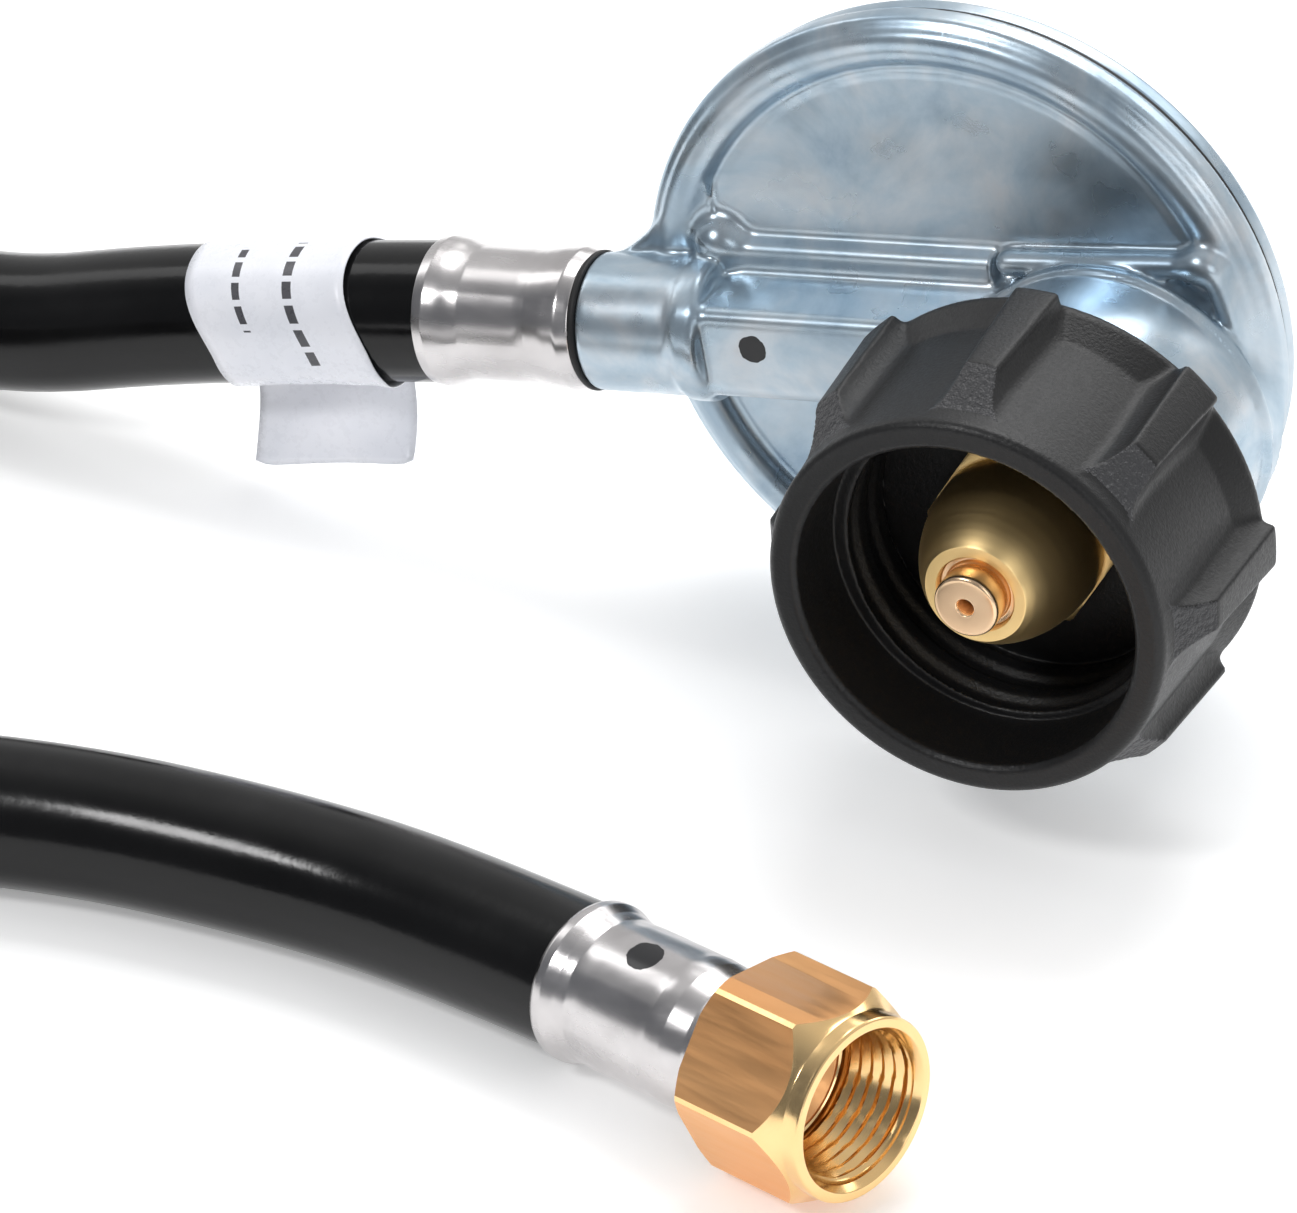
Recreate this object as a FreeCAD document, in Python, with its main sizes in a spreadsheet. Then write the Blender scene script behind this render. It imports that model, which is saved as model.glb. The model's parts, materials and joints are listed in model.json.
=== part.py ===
"""Propane regulator hose: a low pressure regulator with a black handwheel, its hose and a flare swivel nut.

Units are millimetres and +Z is up. The regulator stands on the edge of its round casting and faces -Y.
The hose leaves it towards -X, is put away in a tied coil, and comes back along the floor to the flare nut.
The origin is on the floor, in the middle of the regulator's own box.
"""
import math
import os

import FreeCAD
import Part
import Sketcher

# ---------------------------------------------------------------- driving dimensions
DIMENSIONS = {
    # where the disc's centre stands, and how the casting leans in its own plane
    "disc_x": 7.58, "disc_y": 8.1, "lean": 10.5,
    # casting: stations run forward from the flange's front face
    "rim_radius": 35.0, "rim_depth": 3.0, "dish_radius": 29.4, "floor_depth": 1.8, "chamber_radius": 28.5,
    "ring_rise": 1.2, "channel_front": 9.5, "channel_half": 5.0, "channel_end": 26.0,
    "outlet_station": 3.5, "neck_radius": 7.2, "neck_end": 39.0, "passage_radius": 3.0,
    "inlet_x": 18.5, "inlet_drop": 4.05, "dome_radius": 16.0, "boss_radius": 11.5, "boss_face": 19.0,
    "pocket_radius": 3.8, "pocket_front": 6.0, "inlet_thread_radius": 6.6, "inlet_thread_end": 10.0,
    "orifice_radius": 2.5, "orifice_face": 5.5, "rib_rise": 2.5, "shelf_rise": 1.5, "shelf_top": 9.0,
    "bar_low": 7.5, "bar_top": 10.5, "bar_start": 7.0, "bar_end": 27.0, "hook_inner": 31.7, "hook_outer": 33.9,
    "hook_start": -22.0, "hook_angle": 42.0, "gusset_top": 10.0,
    # play of a threaded or plugged joint, and how deep a solid is sunk into the one that it joins
    "play": 0.05, "sunk": 0.5,
    # back cover, closing cap and adjusting screw: stations behind the flange are negative
    "lip_radius": 34.3, "lip_back": 6.0, "tower_radius": 14.0, "tower_bore": 11.0, "tower_back": 24.0,
    "cap_radius": 13.0, "cap_back": 26.5, "screw_front": 16.0, "screw_back": 20.0,
    "vent_radius": 4.5, "vent_hole": 2.8, "vent_offset": 23.0, "vent_back": 13.0,
    # diaphragm group
    "diaphragm_thick": 0.8, "plate_radius": 12.0, "back_plate_radius": 13.5, "plate_thick": 0.8,
    "stem_radius": 2.0, "post_radius": 3.0, "post_front": 4.6,
    "main_spring_radius": 8.5, "main_spring_wire": 0.7, "relief_spring_radius": 2.9, "relief_spring_wire": 0.25,
    # lever: stations of its flat plate, its pivot's distance from the disc's centre
    "lever_back": 2.35, "lever_thick": 0.9, "pivot_offset": 11.2, "pin_radius": 0.8, "pin_half": 6.5,
    "pin_play": 0.05, "barrel_radius": 1.5, "seat_radius": 2.0, "seat_front": 4.5,
    # inlet nipple, tip and excess flow plunger
    "collar_radius": 7.2, "hex_back": 25.0, "hex_front": 28.0, "nipple_hex_flats": 18.0, "bulb_radius": 8.9,
    "nose_face": 39.6, "nose_radius": 5.4, "chamber_bore": 3.5, "tip_recess": 4.1, "tip_radius": 3.2,
    "tip_face": 42.2, "tip_hole": 0.8, "plunger_radius": 3.4, "plunger_front": 35.9,
    "flow_spring_radius": 2.6, "flow_spring_wire": 0.3,
    # handwheel
    "wheel_mouth": 42.7, "wheel_back": 20.5, "wheel_wall": 24.0, "wheel_hole": 8.3, "wheel_rim": 20.85,
    "wheel_mouth_radius": 17.8, "acme_radius": 16.0, "acme_front": 36.0, "lobe_radius": 24.5,
    "lobe_width": 4.8, "lobe_count": 8, "lobe_phase": 4.0, "washer_radius": 11.0,
    # hose and its fittings
    "hose_radius": 7.5, "hose_bore": 4.0, "crimped_radius": 6.3, "ferrule_start": 40.0, "ferrule_end": 57.8,
    "ferrule_bulge": 8.2, "ferrule_crimp": 7.1, "seal_radius": 7.4, "barb_radius": 4.3,
    "flare_yaw": -19.2, "flare_pitch": 4.9, "flare_roll": -6.0, "flare_x": 18.1, "flare_y": -92.0,
    "flare_z": 10.1, "flare_ferrule_length": 21.4, "nut_flats": 19.05, "nut_hex_length": 10.9,
    "nut_mouth": 14.7, "nut_nose_radius": 9.3, "nut_thread_radius": 7.5, "nut_hole": 5.15, "nut_relief": 5.4,
    "flare_stem_radius": 5.05, "flare_head_radius": 6.9,
    # the coil that holds the stored length, and its tie
    "coil_x": -195.0, "coil_y": -80.0, "turn_inner": 60.0, "turn_outer": 75.0, "tie_thick": 0.6,
    "tie_width": 16.0, "tie_angle": 205.0, "exit_angle": 320.0,
    # paper label
    "label_start": 5.0, "label_width": 20.6, "label_thick": 0.22, "flag_drop": 10.5,
}

V = FreeCAD.Vector
X_AXIS = V(1, 0, 0)
Y_AXIS = V(0, 1, 0)
Z_AXIS = V(0, 0, 1)
FULL_TURN = 360

doc = FreeCAD.newDocument("propane_regulator_hose")
sheet = doc.addObject("Spreadsheet::Sheet", "Dims")
for row, (alias, value) in enumerate(DIMENSIONS.items(), start=1):
    sheet.set(f"A{row}", alias)
    sheet.set(f"B{row}", str(value))
    sheet.setAlias(f"B{row}", alias)
doc.recompute()


class Size:
    """A length together with the spreadsheet expression that gives it."""

    def __init__(self, value, text):
        self.value = value
        self.text = text

    def joined(self, sign, other, value):
        return Size(value, f"({self.text} {sign} {as_size(other).text})")

    def __add__(self, other):
        return self.joined("+", other, self.value + as_size(other).value)

    def __sub__(self, other):
        return self.joined("-", other, self.value - as_size(other).value)

    def __mul__(self, other):
        return self.joined("*", other, self.value * as_size(other).value)

    def __truediv__(self, other):
        return self.joined("/", other, self.value / as_size(other).value)

    def __neg__(self):
        return Size(-self.value, f"(0 - {self.text})")


def as_size(thing):
    """A plain number becomes a Size with the number as its expression."""
    return thing if isinstance(thing, Size) else Size(float(thing), f"{float(thing):.4f}")


class Dims:
    """Dims.alias is the Size of the sheet's cell with that alias."""


dims = Dims()
for alias, value in DIMENSIONS.items():
    setattr(dims, alias, Size(value, f"Dims.{alias}"))


def bind(thing, prop, size):
    """Set a property from the sheet."""
    setattr(thing, prop, as_size(size).value)
    thing.setExpression(prop, as_size(size).text)


# ---------------------------------------------------------------- frames
def place(x, y, z, rotation=FreeCAD.Rotation()):
    """A placement from sizes or numbers."""
    return FreeCAD.Placement(V(as_size(x).value, as_size(y).value, as_size(z).value), rotation)


FORWARD = FreeCAD.Rotation(X_AXIS, 90)
lever_lean = math.degrees(math.atan2(dims.inlet_drop.value, dims.inlet_x.value))
inlet_offset = math.hypot(dims.inlet_x.value, dims.inlet_drop.value)

# the floor under the disc's centre
stand = place(dims.disc_x, dims.disc_y, 0)
# the casting: x towards the rim opposite the outlet, z forward
casting_frame = stand * place(0, 0, dims.rim_radius, FreeCAD.Rotation(Y_AXIS, -dims.lean.value) * FORWARD)
# the lever: x from the disc's centre to the inlet, z forward
lever_frame = stand * place(0, 0, dims.rim_radius, FreeCAD.Rotation(Y_AXIS, lever_lean) * FORWARD)
# the inlet: z forward along the nipple and the handwheel
inlet_frame = stand * place(dims.inlet_x, 0, dims.rim_radius - dims.inlet_drop, FORWARD)
# the outlet: z along the barb stem, from the casting's middle towards the hose
outlet_frame = casting_frame * place(0, 0, dims.outlet_station, FreeCAD.Rotation(Y_AXIS, -90))


def flare_placement():
    """The flare nut's frame: z out of its mouth, origin in its back face."""
    yaw = math.radians(dims.flare_yaw.value)
    pitch = math.radians(dims.flare_pitch.value)
    ahead = V(math.cos(yaw) * math.cos(pitch), math.sin(yaw) * math.cos(pitch), math.sin(pitch))
    side = Z_AXIS.cross(ahead).normalize()
    up = ahead.cross(side)
    turned_so = FreeCAD.Rotation(side, up, ahead, "ZXY") * FreeCAD.Rotation(Z_AXIS, dims.flare_roll.value)
    return stand * place(dims.flare_x, dims.flare_y, dims.flare_z, turned_so)


flare_frame = flare_placement()


# ---------------------------------------------------------------- modelling helpers
def origin_plane(body, role):
    return [item for item in body.Origin.OriginFeatures if item.Role == role][0]


def outline_sketch(body, name, role, outline, offset=None):
    """A closed outline of straight lines whose every corner is bound to the sheet."""
    sketch = body.newObject("Sketcher::SketchObject", name)
    sketch.AttachmentSupport = [(origin_plane(body, role), "")]
    sketch.MapMode = "FlatFace"
    if offset is not None:
        sketch.AttachmentOffset = FreeCAD.Placement(V(0, 0, as_size(offset).value), FreeCAD.Rotation())
        sketch.setExpression("AttachmentOffset.Base.z", as_size(offset).text)
    corners = [(as_size(across), as_size(along)) for across, along in outline]
    count = len(corners)
    for index in range(count):
        start = corners[index]
        end = corners[(index + 1) % count]
        sketch.addGeometry(Part.LineSegment(V(start[0].value, start[1].value, 0),
                                            V(end[0].value, end[1].value, 0)), False)
    for index in range(count):
        sketch.addConstraint(Sketcher.Constraint("Coincident", index, 2, (index + 1) % count, 1))
    for index, corner in enumerate(corners):
        for kind, size in zip(("DistanceX", "DistanceY"), corner):
            number = sketch.addConstraint(Sketcher.Constraint(kind, -1, 1, index, 1, size.value))
            sketch.setExpression(f"Constraints[{number}]", size.text)
    return sketch


def turned(label, frame, outline):
    """A turned piece: corners are (radius, station along the axis)."""
    body = doc.addObject("PartDesign::Body", label)
    sketch = outline_sketch(body, label + "_outline", "XZ_Plane", outline)
    turn = body.newObject("PartDesign::Revolution", label + "_turn")
    turn.Profile = sketch
    turn.ReferenceAxis = (sketch, ["V_Axis"])
    turn.Angle = FULL_TURN
    body.Placement = frame
    return body


def plate(label, frame, outline, low, high):
    """A flat piece: corners are (x, y), and it runs from station low to station high."""
    body = doc.addObject("PartDesign::Body", label)
    sketch = outline_sketch(body, label + "_outline", "XY_Plane", outline, low)
    pad = body.newObject("PartDesign::Pad", label + "_pad")
    pad.Profile = sketch
    bind(pad, "Length", as_size(high) - low)
    body.Placement = frame
    return body


def coil_spring(label, frame, radius, wire, low, high, turns):
    """A round wire spring along z between two stations of its wire's centre line."""
    body = doc.addObject("PartDesign::Body", label)
    sketch = body.newObject("Sketcher::SketchObject", label + "_wire")
    sketch.AttachmentSupport = [(origin_plane(body, "XZ_Plane"), "")]
    sketch.MapMode = "FlatFace"
    sketch.addGeometry(Part.Circle(V(radius.value, 0, 0), Z_AXIS, wire.value), False)
    parts = (("DistanceX", radius), ("DistanceY", as_size(low)))
    for kind, size in parts:
        number = sketch.addConstraint(Sketcher.Constraint(kind, -1, 1, 0, 3, size.value))
        sketch.setExpression(f"Constraints[{number}]", size.text)
    number = sketch.addConstraint(Sketcher.Constraint("Radius", 0, wire.value))
    sketch.setExpression(f"Constraints[{number}]", wire.text)
    helix = body.newObject("PartDesign::AdditiveHelix", label + "_helix")
    helix.Profile = sketch
    helix.ReferenceAxis = (sketch, ["V_Axis"])
    helix.Mode = 0
    bind(helix, "Pitch", (as_size(high) - low) / turns)
    bind(helix, "Height", as_size(high) - low)
    body.Placement = frame
    return body


def cylinder(name, radius, low, high, spot=FreeCAD.Placement(), angle=FULL_TURN):
    """A primitive along its own z from station low to station high, at a spot of the piece's frame."""
    thing = doc.addObject("Part::Cylinder", name)
    bind(thing, "Radius", radius)
    bind(thing, "Height", as_size(high) - low)
    thing.Angle = angle
    thing.Placement = spot * place(0, 0, low)
    return thing


def block(name, x_range, y_range, z_range, spot=FreeCAD.Placement()):
    """A box primitive between low and high corners."""
    thing = doc.addObject("Part::Box", name)
    for prop, (low, high) in zip(("Length", "Width", "Height"), (x_range, y_range, z_range)):
        bind(thing, prop, as_size(high) - low)
    thing.Placement = spot * place(x_range[0], y_range[0], z_range[0])
    return thing


def hexagon(name, flats, low, high, spot=FreeCAD.Placement()):
    """A hexagonal bar of a width over its flats."""
    thing = doc.addObject("Part::Prism", name)
    thing.Polygon = 6
    bind(thing, "Circumradius", as_size(flats) / 2 / math.cos(math.pi / 6))
    bind(thing, "Height", as_size(high) - low)
    thing.Placement = spot * place(0, 0, low)
    return thing


def fused(label, pieces, frame=FreeCAD.Placement()):
    thing = doc.addObject("Part::MultiFuse", label)
    thing.Shapes = pieces
    thing.Placement = frame
    return thing


def cut(label, base, tool, frame=FreeCAD.Placement()):
    thing = doc.addObject("Part::Cut", label)
    thing.Base = base
    thing.Tool = tool
    thing.Placement = frame
    return thing


def common(label, base, tool, frame=FreeCAD.Placement()):
    thing = doc.addObject("Part::Common", label)
    thing.Base = base
    thing.Tool = tool
    thing.Placement = frame
    return thing


subparts = []


def keep(thing, label):
    """Name a finished sub-part and list it for writing."""
    thing.Label = label
    subparts.append(thing)
    return thing


# ---------------------------------------------------------------- regulator casting
def make_casting():
    """Die cast front half: dished flange, channel, inlet dome with its boss, outlet neck and ribs."""
    back = -dims.rim_depth
    flange = turned("casting_flange", FreeCAD.Placement(), [
        (0, -dims.floor_depth), (dims.chamber_radius, -dims.floor_depth), (dims.chamber_radius, back),
        (dims.rim_radius, back), (dims.rim_radius, -0.8), (dims.rim_radius - 0.8, 0),
        (dims.rim_radius - 2.6, dims.ring_rise), (dims.dish_radius + 1, dims.ring_rise),
        (dims.dish_radius, 0), (0, 0)])
    inlet_spot = place(inlet_offset * math.cos(math.radians(lever_lean + dims.lean.value)),
                       -inlet_offset * math.sin(math.radians(lever_lean + dims.lean.value)), 0)
    dome = turned("casting_dome", inlet_spot, [
        (0, -dims.sunk), (dims.dome_radius, -dims.sunk), (dims.dome_radius, 2), (dims.dome_radius - 0.6, 6),
        (dims.dome_radius - 1.6, 10), (dims.dome_radius - 3.2, 14.5), (dims.boss_radius, dims.boss_face),
        (0, dims.boss_face)])
    channel = block("casting_channel", (-dims.channel_end, 12), (-dims.channel_half, dims.channel_half),
                    (-dims.sunk, dims.channel_front))
    shelf = block("casting_shelf", (-dims.channel_end, 6), (dims.channel_half - 0.5, dims.shelf_top),
                  (-dims.sunk, dims.shelf_rise))
    bar = block("casting_bar", (dims.bar_start, dims.bar_end), (dims.bar_low, dims.bar_top),
                (-dims.sunk, dims.rib_rise))
    hook_spot = place(0, 0, 0, FreeCAD.Rotation(Z_AXIS, dims.hook_start.value))
    hook = cut("casting_hook",
               cylinder("casting_hook_outer", dims.hook_outer, -dims.sunk, dims.rib_rise, hook_spot,
                        dims.hook_angle.value),
               cylinder("casting_hook_inner", dims.hook_inner, -dims.sunk - 1, dims.rib_rise + 1))
    outlet_spot = place(0, 0, dims.outlet_station, FreeCAD.Rotation(Y_AXIS, -90))
    neck = cylinder("casting_neck", dims.neck_radius, dims.channel_end - 4, dims.neck_end, outlet_spot)
    gusset = plate("casting_gusset", FreeCAD.Placement(), [
        (-dims.neck_end, 0), (-dims.neck_end, 6.2), (-33.5, dims.gusset_top), (-28, dims.gusset_top),
        (-28, 0)], back, 0)
    solid = fused("casting_solid", [flange, dome, channel, shelf, bar, hook, neck, gusset])
    lever_spot = place(0, 0, 0, FreeCAD.Rotation(Z_AXIS, -lever_lean - dims.lean.value))
    pin_spot = lever_spot * place(dims.pivot_offset, 0, dims.lever_back + dims.lever_thick / 2,
                                  FreeCAD.Rotation(X_AXIS, 90))
    hollow = fused("casting_hollow", [
        block("pocket_slot", (0, inlet_offset), (-dims.pocket_radius, dims.pocket_radius),
              (-dims.rim_depth, dims.pocket_front), lever_spot),
        cylinder("pocket_stem_end", dims.pocket_radius, -dims.rim_depth, dims.pocket_front),
        cylinder("pocket_inlet_end", dims.pocket_radius, -dims.rim_depth, dims.pocket_front, inlet_spot),
        cylinder("orifice_bore", dims.orifice_radius, dims.pocket_front - 1, dims.inlet_thread_end, inlet_spot),
        cylinder("inlet_bore", dims.inlet_thread_radius, dims.inlet_thread_end, dims.boss_face + 1, inlet_spot),
        cylinder("outlet_passage", dims.passage_radius, 0, dims.neck_end, outlet_spot),
        cylinder("outlet_bore", dims.barb_radius, dims.neck_end - 8, dims.neck_end + 1, outlet_spot),
        cylinder("pin_bore", dims.pin_radius, -dims.pin_half, dims.pin_half, pin_spot),
        block("neck_clearance", (-dims.rim_radius - 0.5, -dims.channel_end + 6),
              (-dims.neck_radius, dims.neck_radius), (back - 1, back))])
    keep(cut("casting", solid, hollow, casting_frame), "regulator_body")


def make_back_cover():
    """Stamped back cover with its spring tower and its vent boss."""
    seat = -dims.rim_depth - dims.diaphragm_thick
    shell = turned("cover_shell", FreeCAD.Placement(), [
        (dims.lip_radius, seat), (dims.lip_radius, -dims.lip_back), (31, -dims.lip_back - 0.8),
        (29.4, -8.4), (17, -10.4), (dims.tower_radius, -12.4), (dims.tower_radius, -dims.tower_back),
        (dims.tower_bore, -dims.tower_back), (dims.tower_bore, -10.6), (16, -8.8), (27.4, -7.0),
        (dims.chamber_radius, -5.4), (dims.chamber_radius, seat)])
    vent_spot = place(0, 0, 0, FreeCAD.Rotation(Z_AXIS, -70)) * place(dims.vent_offset, 0, 0)
    boss = cylinder("vent_boss", dims.vent_radius, -dims.vent_back, -8.2, vent_spot)
    hole = cylinder("vent_bore", dims.vent_hole, -dims.vent_back - 1, -6, vent_spot)
    keep(cut("cover", fused("cover_solid", [shell, boss]), hole, casting_frame), "back_cover")
    screen = cylinder("screen", dims.vent_hole, -dims.vent_back + 0.6, -dims.vent_back + 1.2,
                      casting_frame * vent_spot)
    keep(screen, "vent_screen")


def make_tower_pieces():
    """Adjusting screw with its drive socket, and the closing cap with a coin slot."""
    front, back = -dims.screw_front, -dims.screw_back
    keep(turned("adjuster", casting_frame, [
        (3, front - 1.4), (3, back), (dims.tower_bore, back), (dims.tower_bore, front - 1),
        (dims.tower_bore - 1, front), (0, front), (0, front - 1.4)]), "adjusting_screw")
    cap = turned("cap_solid", FreeCAD.Placement(), [
        (0, -dims.tower_back + 2.5), (dims.tower_bore - dims.play, -dims.tower_back + 2.5),
        (dims.tower_bore - dims.play, -dims.tower_back),
        (dims.cap_radius, -dims.tower_back), (dims.cap_radius, -dims.cap_back + 0.6),
        (dims.cap_radius - 0.6, -dims.cap_back), (0, -dims.cap_back)])
    slot = block("cap_slot", (-9, 9), (-0.9, 0.9), (-dims.cap_back - 1, -dims.cap_back + 1.4))
    keep(cut("cap", cap, slot, casting_frame), "closing_cap")


def make_diaphragm_group():
    """Rubber diaphragm with one rolled fold, its two plates, the hook post and the relief spring and nut."""
    front = -dims.rim_depth
    back = front - dims.diaphragm_thick
    keep(turned("membrane", lever_frame, [
        (dims.stem_radius, front), (15, front), (17, front - 1.8), (21, front - 1.8), (24, front),
        (dims.lip_radius, front), (dims.lip_radius, back), (24.4, back), (21.3, back - 1.8),
        (16.7, back - 1.8), (14.6, back), (dims.stem_radius, back)]), "diaphragm")
    keep(turned("front_plate", lever_frame, [
        (dims.stem_radius, front), (dims.plate_radius, front), (dims.plate_radius, front + dims.plate_thick),
        (dims.stem_radius, front + dims.plate_thick)]), "diaphragm_front_plate")
    keep(turned("back_plate", lever_frame, [
        (dims.stem_radius, back), (dims.back_plate_radius, back),
        (dims.back_plate_radius, back - dims.plate_thick), (dims.stem_radius, back - dims.plate_thick)]),
        "diaphragm_back_plate")
    post = turned("post_solid", FreeCAD.Placement(), [
        (0, back - 6.2), (dims.stem_radius, back - 6.2), (dims.stem_radius, front + dims.plate_thick),
        (dims.post_radius, front + dims.plate_thick), (dims.post_radius, dims.post_front - 0.5),
        (dims.post_radius - 0.5, dims.post_front), (0, dims.post_front)])
    window = block("post_window", (-4, 4), (-1.6, 1.6), (dims.lever_back - 0.4, dims.lever_back + 1.3))
    keep(cut("post", post, window, lever_frame), "lever_hook_post")
    spring_back = back - dims.plate_thick - 3.3
    keep(coil_spring("relief_coil", lever_frame, dims.relief_spring_radius, dims.relief_spring_wire,
                     spring_back, back - dims.plate_thick - 0.3, 4), "relief_spring")
    nut = cut("relief_nut_cut", hexagon("relief_hex", 7, spring_back - 1.8, spring_back - 0.3),
              cylinder("relief_hole", dims.stem_radius, spring_back - 2, spring_back), lever_frame)
    keep(nut, "relief_nut")
    keep(coil_spring("main_coil", lever_frame, dims.main_spring_radius, dims.main_spring_wire,
                     -dims.screw_front + 0.75, back - dims.plate_thick - 0.75, 5), "main_spring")


def make_lever():
    """See-saw lever on its pin: one end in the hook post, the other with the rubber seat disc."""
    low = dims.lever_back
    high = dims.lever_back + dims.lever_thick
    arm = plate("lever_arm", FreeCAD.Placement(), [
        (-1.5, -1.1), (5, -1.1), (8, -2.6), (inlet_offset + 2, -2.6), (inlet_offset + 2.6, -2),
        (inlet_offset + 2.6, 2), (inlet_offset + 2, 2.6), (8, 2.6), (5, 1.1), (-1.5, 1.1)], low, high)
    pivot = place(dims.pivot_offset, 0, low + dims.lever_thick / 2, FreeCAD.Rotation(X_AXIS, 90))
    barrel = cylinder("lever_barrel", dims.barrel_radius, -3.2, 3.2, pivot)
    hole = cylinder("lever_hole", dims.pin_radius + dims.pin_play, -4, 4, pivot)
    keep(cut("lever_cut", fused("lever_solid", [arm, barrel]), hole, lever_frame), "lever")
    keep(cylinder("pin", dims.pin_radius, -dims.pin_half, dims.pin_half, lever_frame * pivot), "lever_pin")
    keep(turned("pad", lever_frame * place(inlet_offset, 0, 0), [
        (0, high), (dims.seat_radius, high), (dims.seat_radius, dims.seat_front - 0.3),
        (dims.seat_radius - 0.3, dims.seat_front), (0, dims.seat_front)]), "seat_disc")


# ---------------------------------------------------------------- inlet and handwheel
def make_inlet():
    """Orifice jet, brass nipple with its hex and bulb, its tip, and the excess flow plunger and spring."""
    keep(turned("jet", inlet_frame, [
        (0.9, dims.orifice_face), (1.6, dims.orifice_face), (dims.orifice_radius, dims.orifice_face + 0.6),
        (dims.orifice_radius, dims.inlet_thread_end), (0.9, dims.inlet_thread_end)]), "orifice")
    bulb = dims.bulb_radius
    spindle = turned("nipple_spindle", FreeCAD.Placement(), [
        (2.6, dims.inlet_thread_end), (dims.inlet_thread_radius - dims.play, dims.inlet_thread_end),
        (dims.inlet_thread_radius - dims.play, dims.boss_face), (dims.collar_radius, dims.boss_face),
        (dims.collar_radius, dims.hex_front), (bulb, dims.hex_front), (bulb, 31), (bulb - 0.6, 34),
        (bulb - 1.6, 36.5), (bulb - 2.7, 38.5), (dims.nose_radius, dims.nose_face),
        (dims.tip_recess, dims.nose_face), (dims.tip_recess, 36.6), (dims.chamber_bore, 36.6),
        (dims.chamber_bore, 26), (1.8, 25), (1.8, 23), (2.6, 22)])
    hex_solid = hexagon("nipple_hex", dims.nipple_hex_flats, dims.hex_back, dims.hex_front)
    hex_hole = cylinder("nipple_hex_hole", dims.collar_radius - 1, dims.hex_back - 1, dims.hex_front + 1)
    keep(fused("nipple", [spindle, cut("nipple_hex_ring", hex_solid, hex_hole)], inlet_frame), "inlet_nipple")
    keep(turned("tip", inlet_frame, [
        (dims.tip_hole, 36.6), (dims.tip_recess, 36.6), (dims.tip_recess, 38), (dims.tip_radius, 38),
        (dims.tip_radius, dims.tip_face - 0.4), (dims.tip_radius - 0.4, dims.tip_face),
        (dims.tip_hole, dims.tip_face)]), "nipple_tip")
    slug = hexagon("plunger_hex", dims.plunger_radius * 2 * math.cos(math.pi / 6), 31, dims.plunger_front)
    nose = turned("plunger_nose", FreeCAD.Placement(), [
        (0, 27), (1.1, 27), (1.6, 27.8), (1.6, 31.2), (0, 31.2)])
    keep(fused("plunger", [slug, nose], inlet_frame), "excess_flow_plunger")
    keep(coil_spring("flow_coil", inlet_frame, dims.flow_spring_radius, dims.flow_spring_wire, 26.6, 30.65, 4),
         "excess_flow_spring")


def make_handwheel():
    """Eight lobed handwheel captured between the casting's boss and the nipple's hex, and its washer."""
    body = doc.addObject("PartDesign::Body", "wheel")
    outline = outline_sketch(body, "wheel_outline", "XZ_Plane", [
        (dims.wheel_hole, dims.wheel_back), (22, dims.wheel_back), (22.6, dims.wheel_back + 0.7),
        (22.6, dims.wheel_wall), (21.3, dims.wheel_wall + 2), (21, 34), (dims.wheel_rim, dims.wheel_mouth),
        (dims.wheel_mouth_radius, dims.wheel_mouth), (dims.wheel_mouth_radius, dims.acme_front + 1.2),
        (dims.acme_radius, dims.acme_front), (dims.acme_radius, dims.wheel_wall),
        (dims.wheel_hole, dims.wheel_wall)])
    turn = body.newObject("PartDesign::Revolution", "wheel_turn")
    turn.Profile = outline
    turn.ReferenceAxis = (outline, ["V_Axis"])
    turn.Angle = FULL_TURN
    lobe = outline_sketch(body, "wheel_lobe_outline", "XZ_Plane", [
        (19, dims.wheel_back + 0.4), (dims.lobe_radius - 0.6, dims.wheel_back + 0.4),
        (dims.lobe_radius, dims.wheel_back + 1), (dims.lobe_radius, dims.acme_front),
        (dims.wheel_rim, dims.wheel_mouth - 1.2), (19, dims.wheel_mouth - 1.2)])
    pad = body.newObject("PartDesign::Pad", "wheel_lobe")
    pad.Profile = lobe
    bind(pad, "Length", dims.lobe_width)
    pad.Midplane = True
    pattern = body.newObject("PartDesign::PolarPattern", "wheel_lobes")
    pattern.Originals = [pad]
    pattern.Axis = (origin_plane(body, "Z_Axis"), [""])
    pattern.Occurrences = int(dims.lobe_count.value)
    body.Tip = pattern
    body.Placement = inlet_frame * place(0, 0, 0, FreeCAD.Rotation(Z_AXIS, dims.lobe_phase.value))
    keep(body, "handwheel")
    keep(turned("washer", inlet_frame, [
        (dims.collar_radius + 0.1, dims.boss_face), (dims.washer_radius, dims.boss_face),
        (dims.washer_radius, dims.wheel_back - 0.3), (dims.collar_radius + 0.1, dims.wheel_back - 0.3)]),
        "handwheel_washer")


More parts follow.
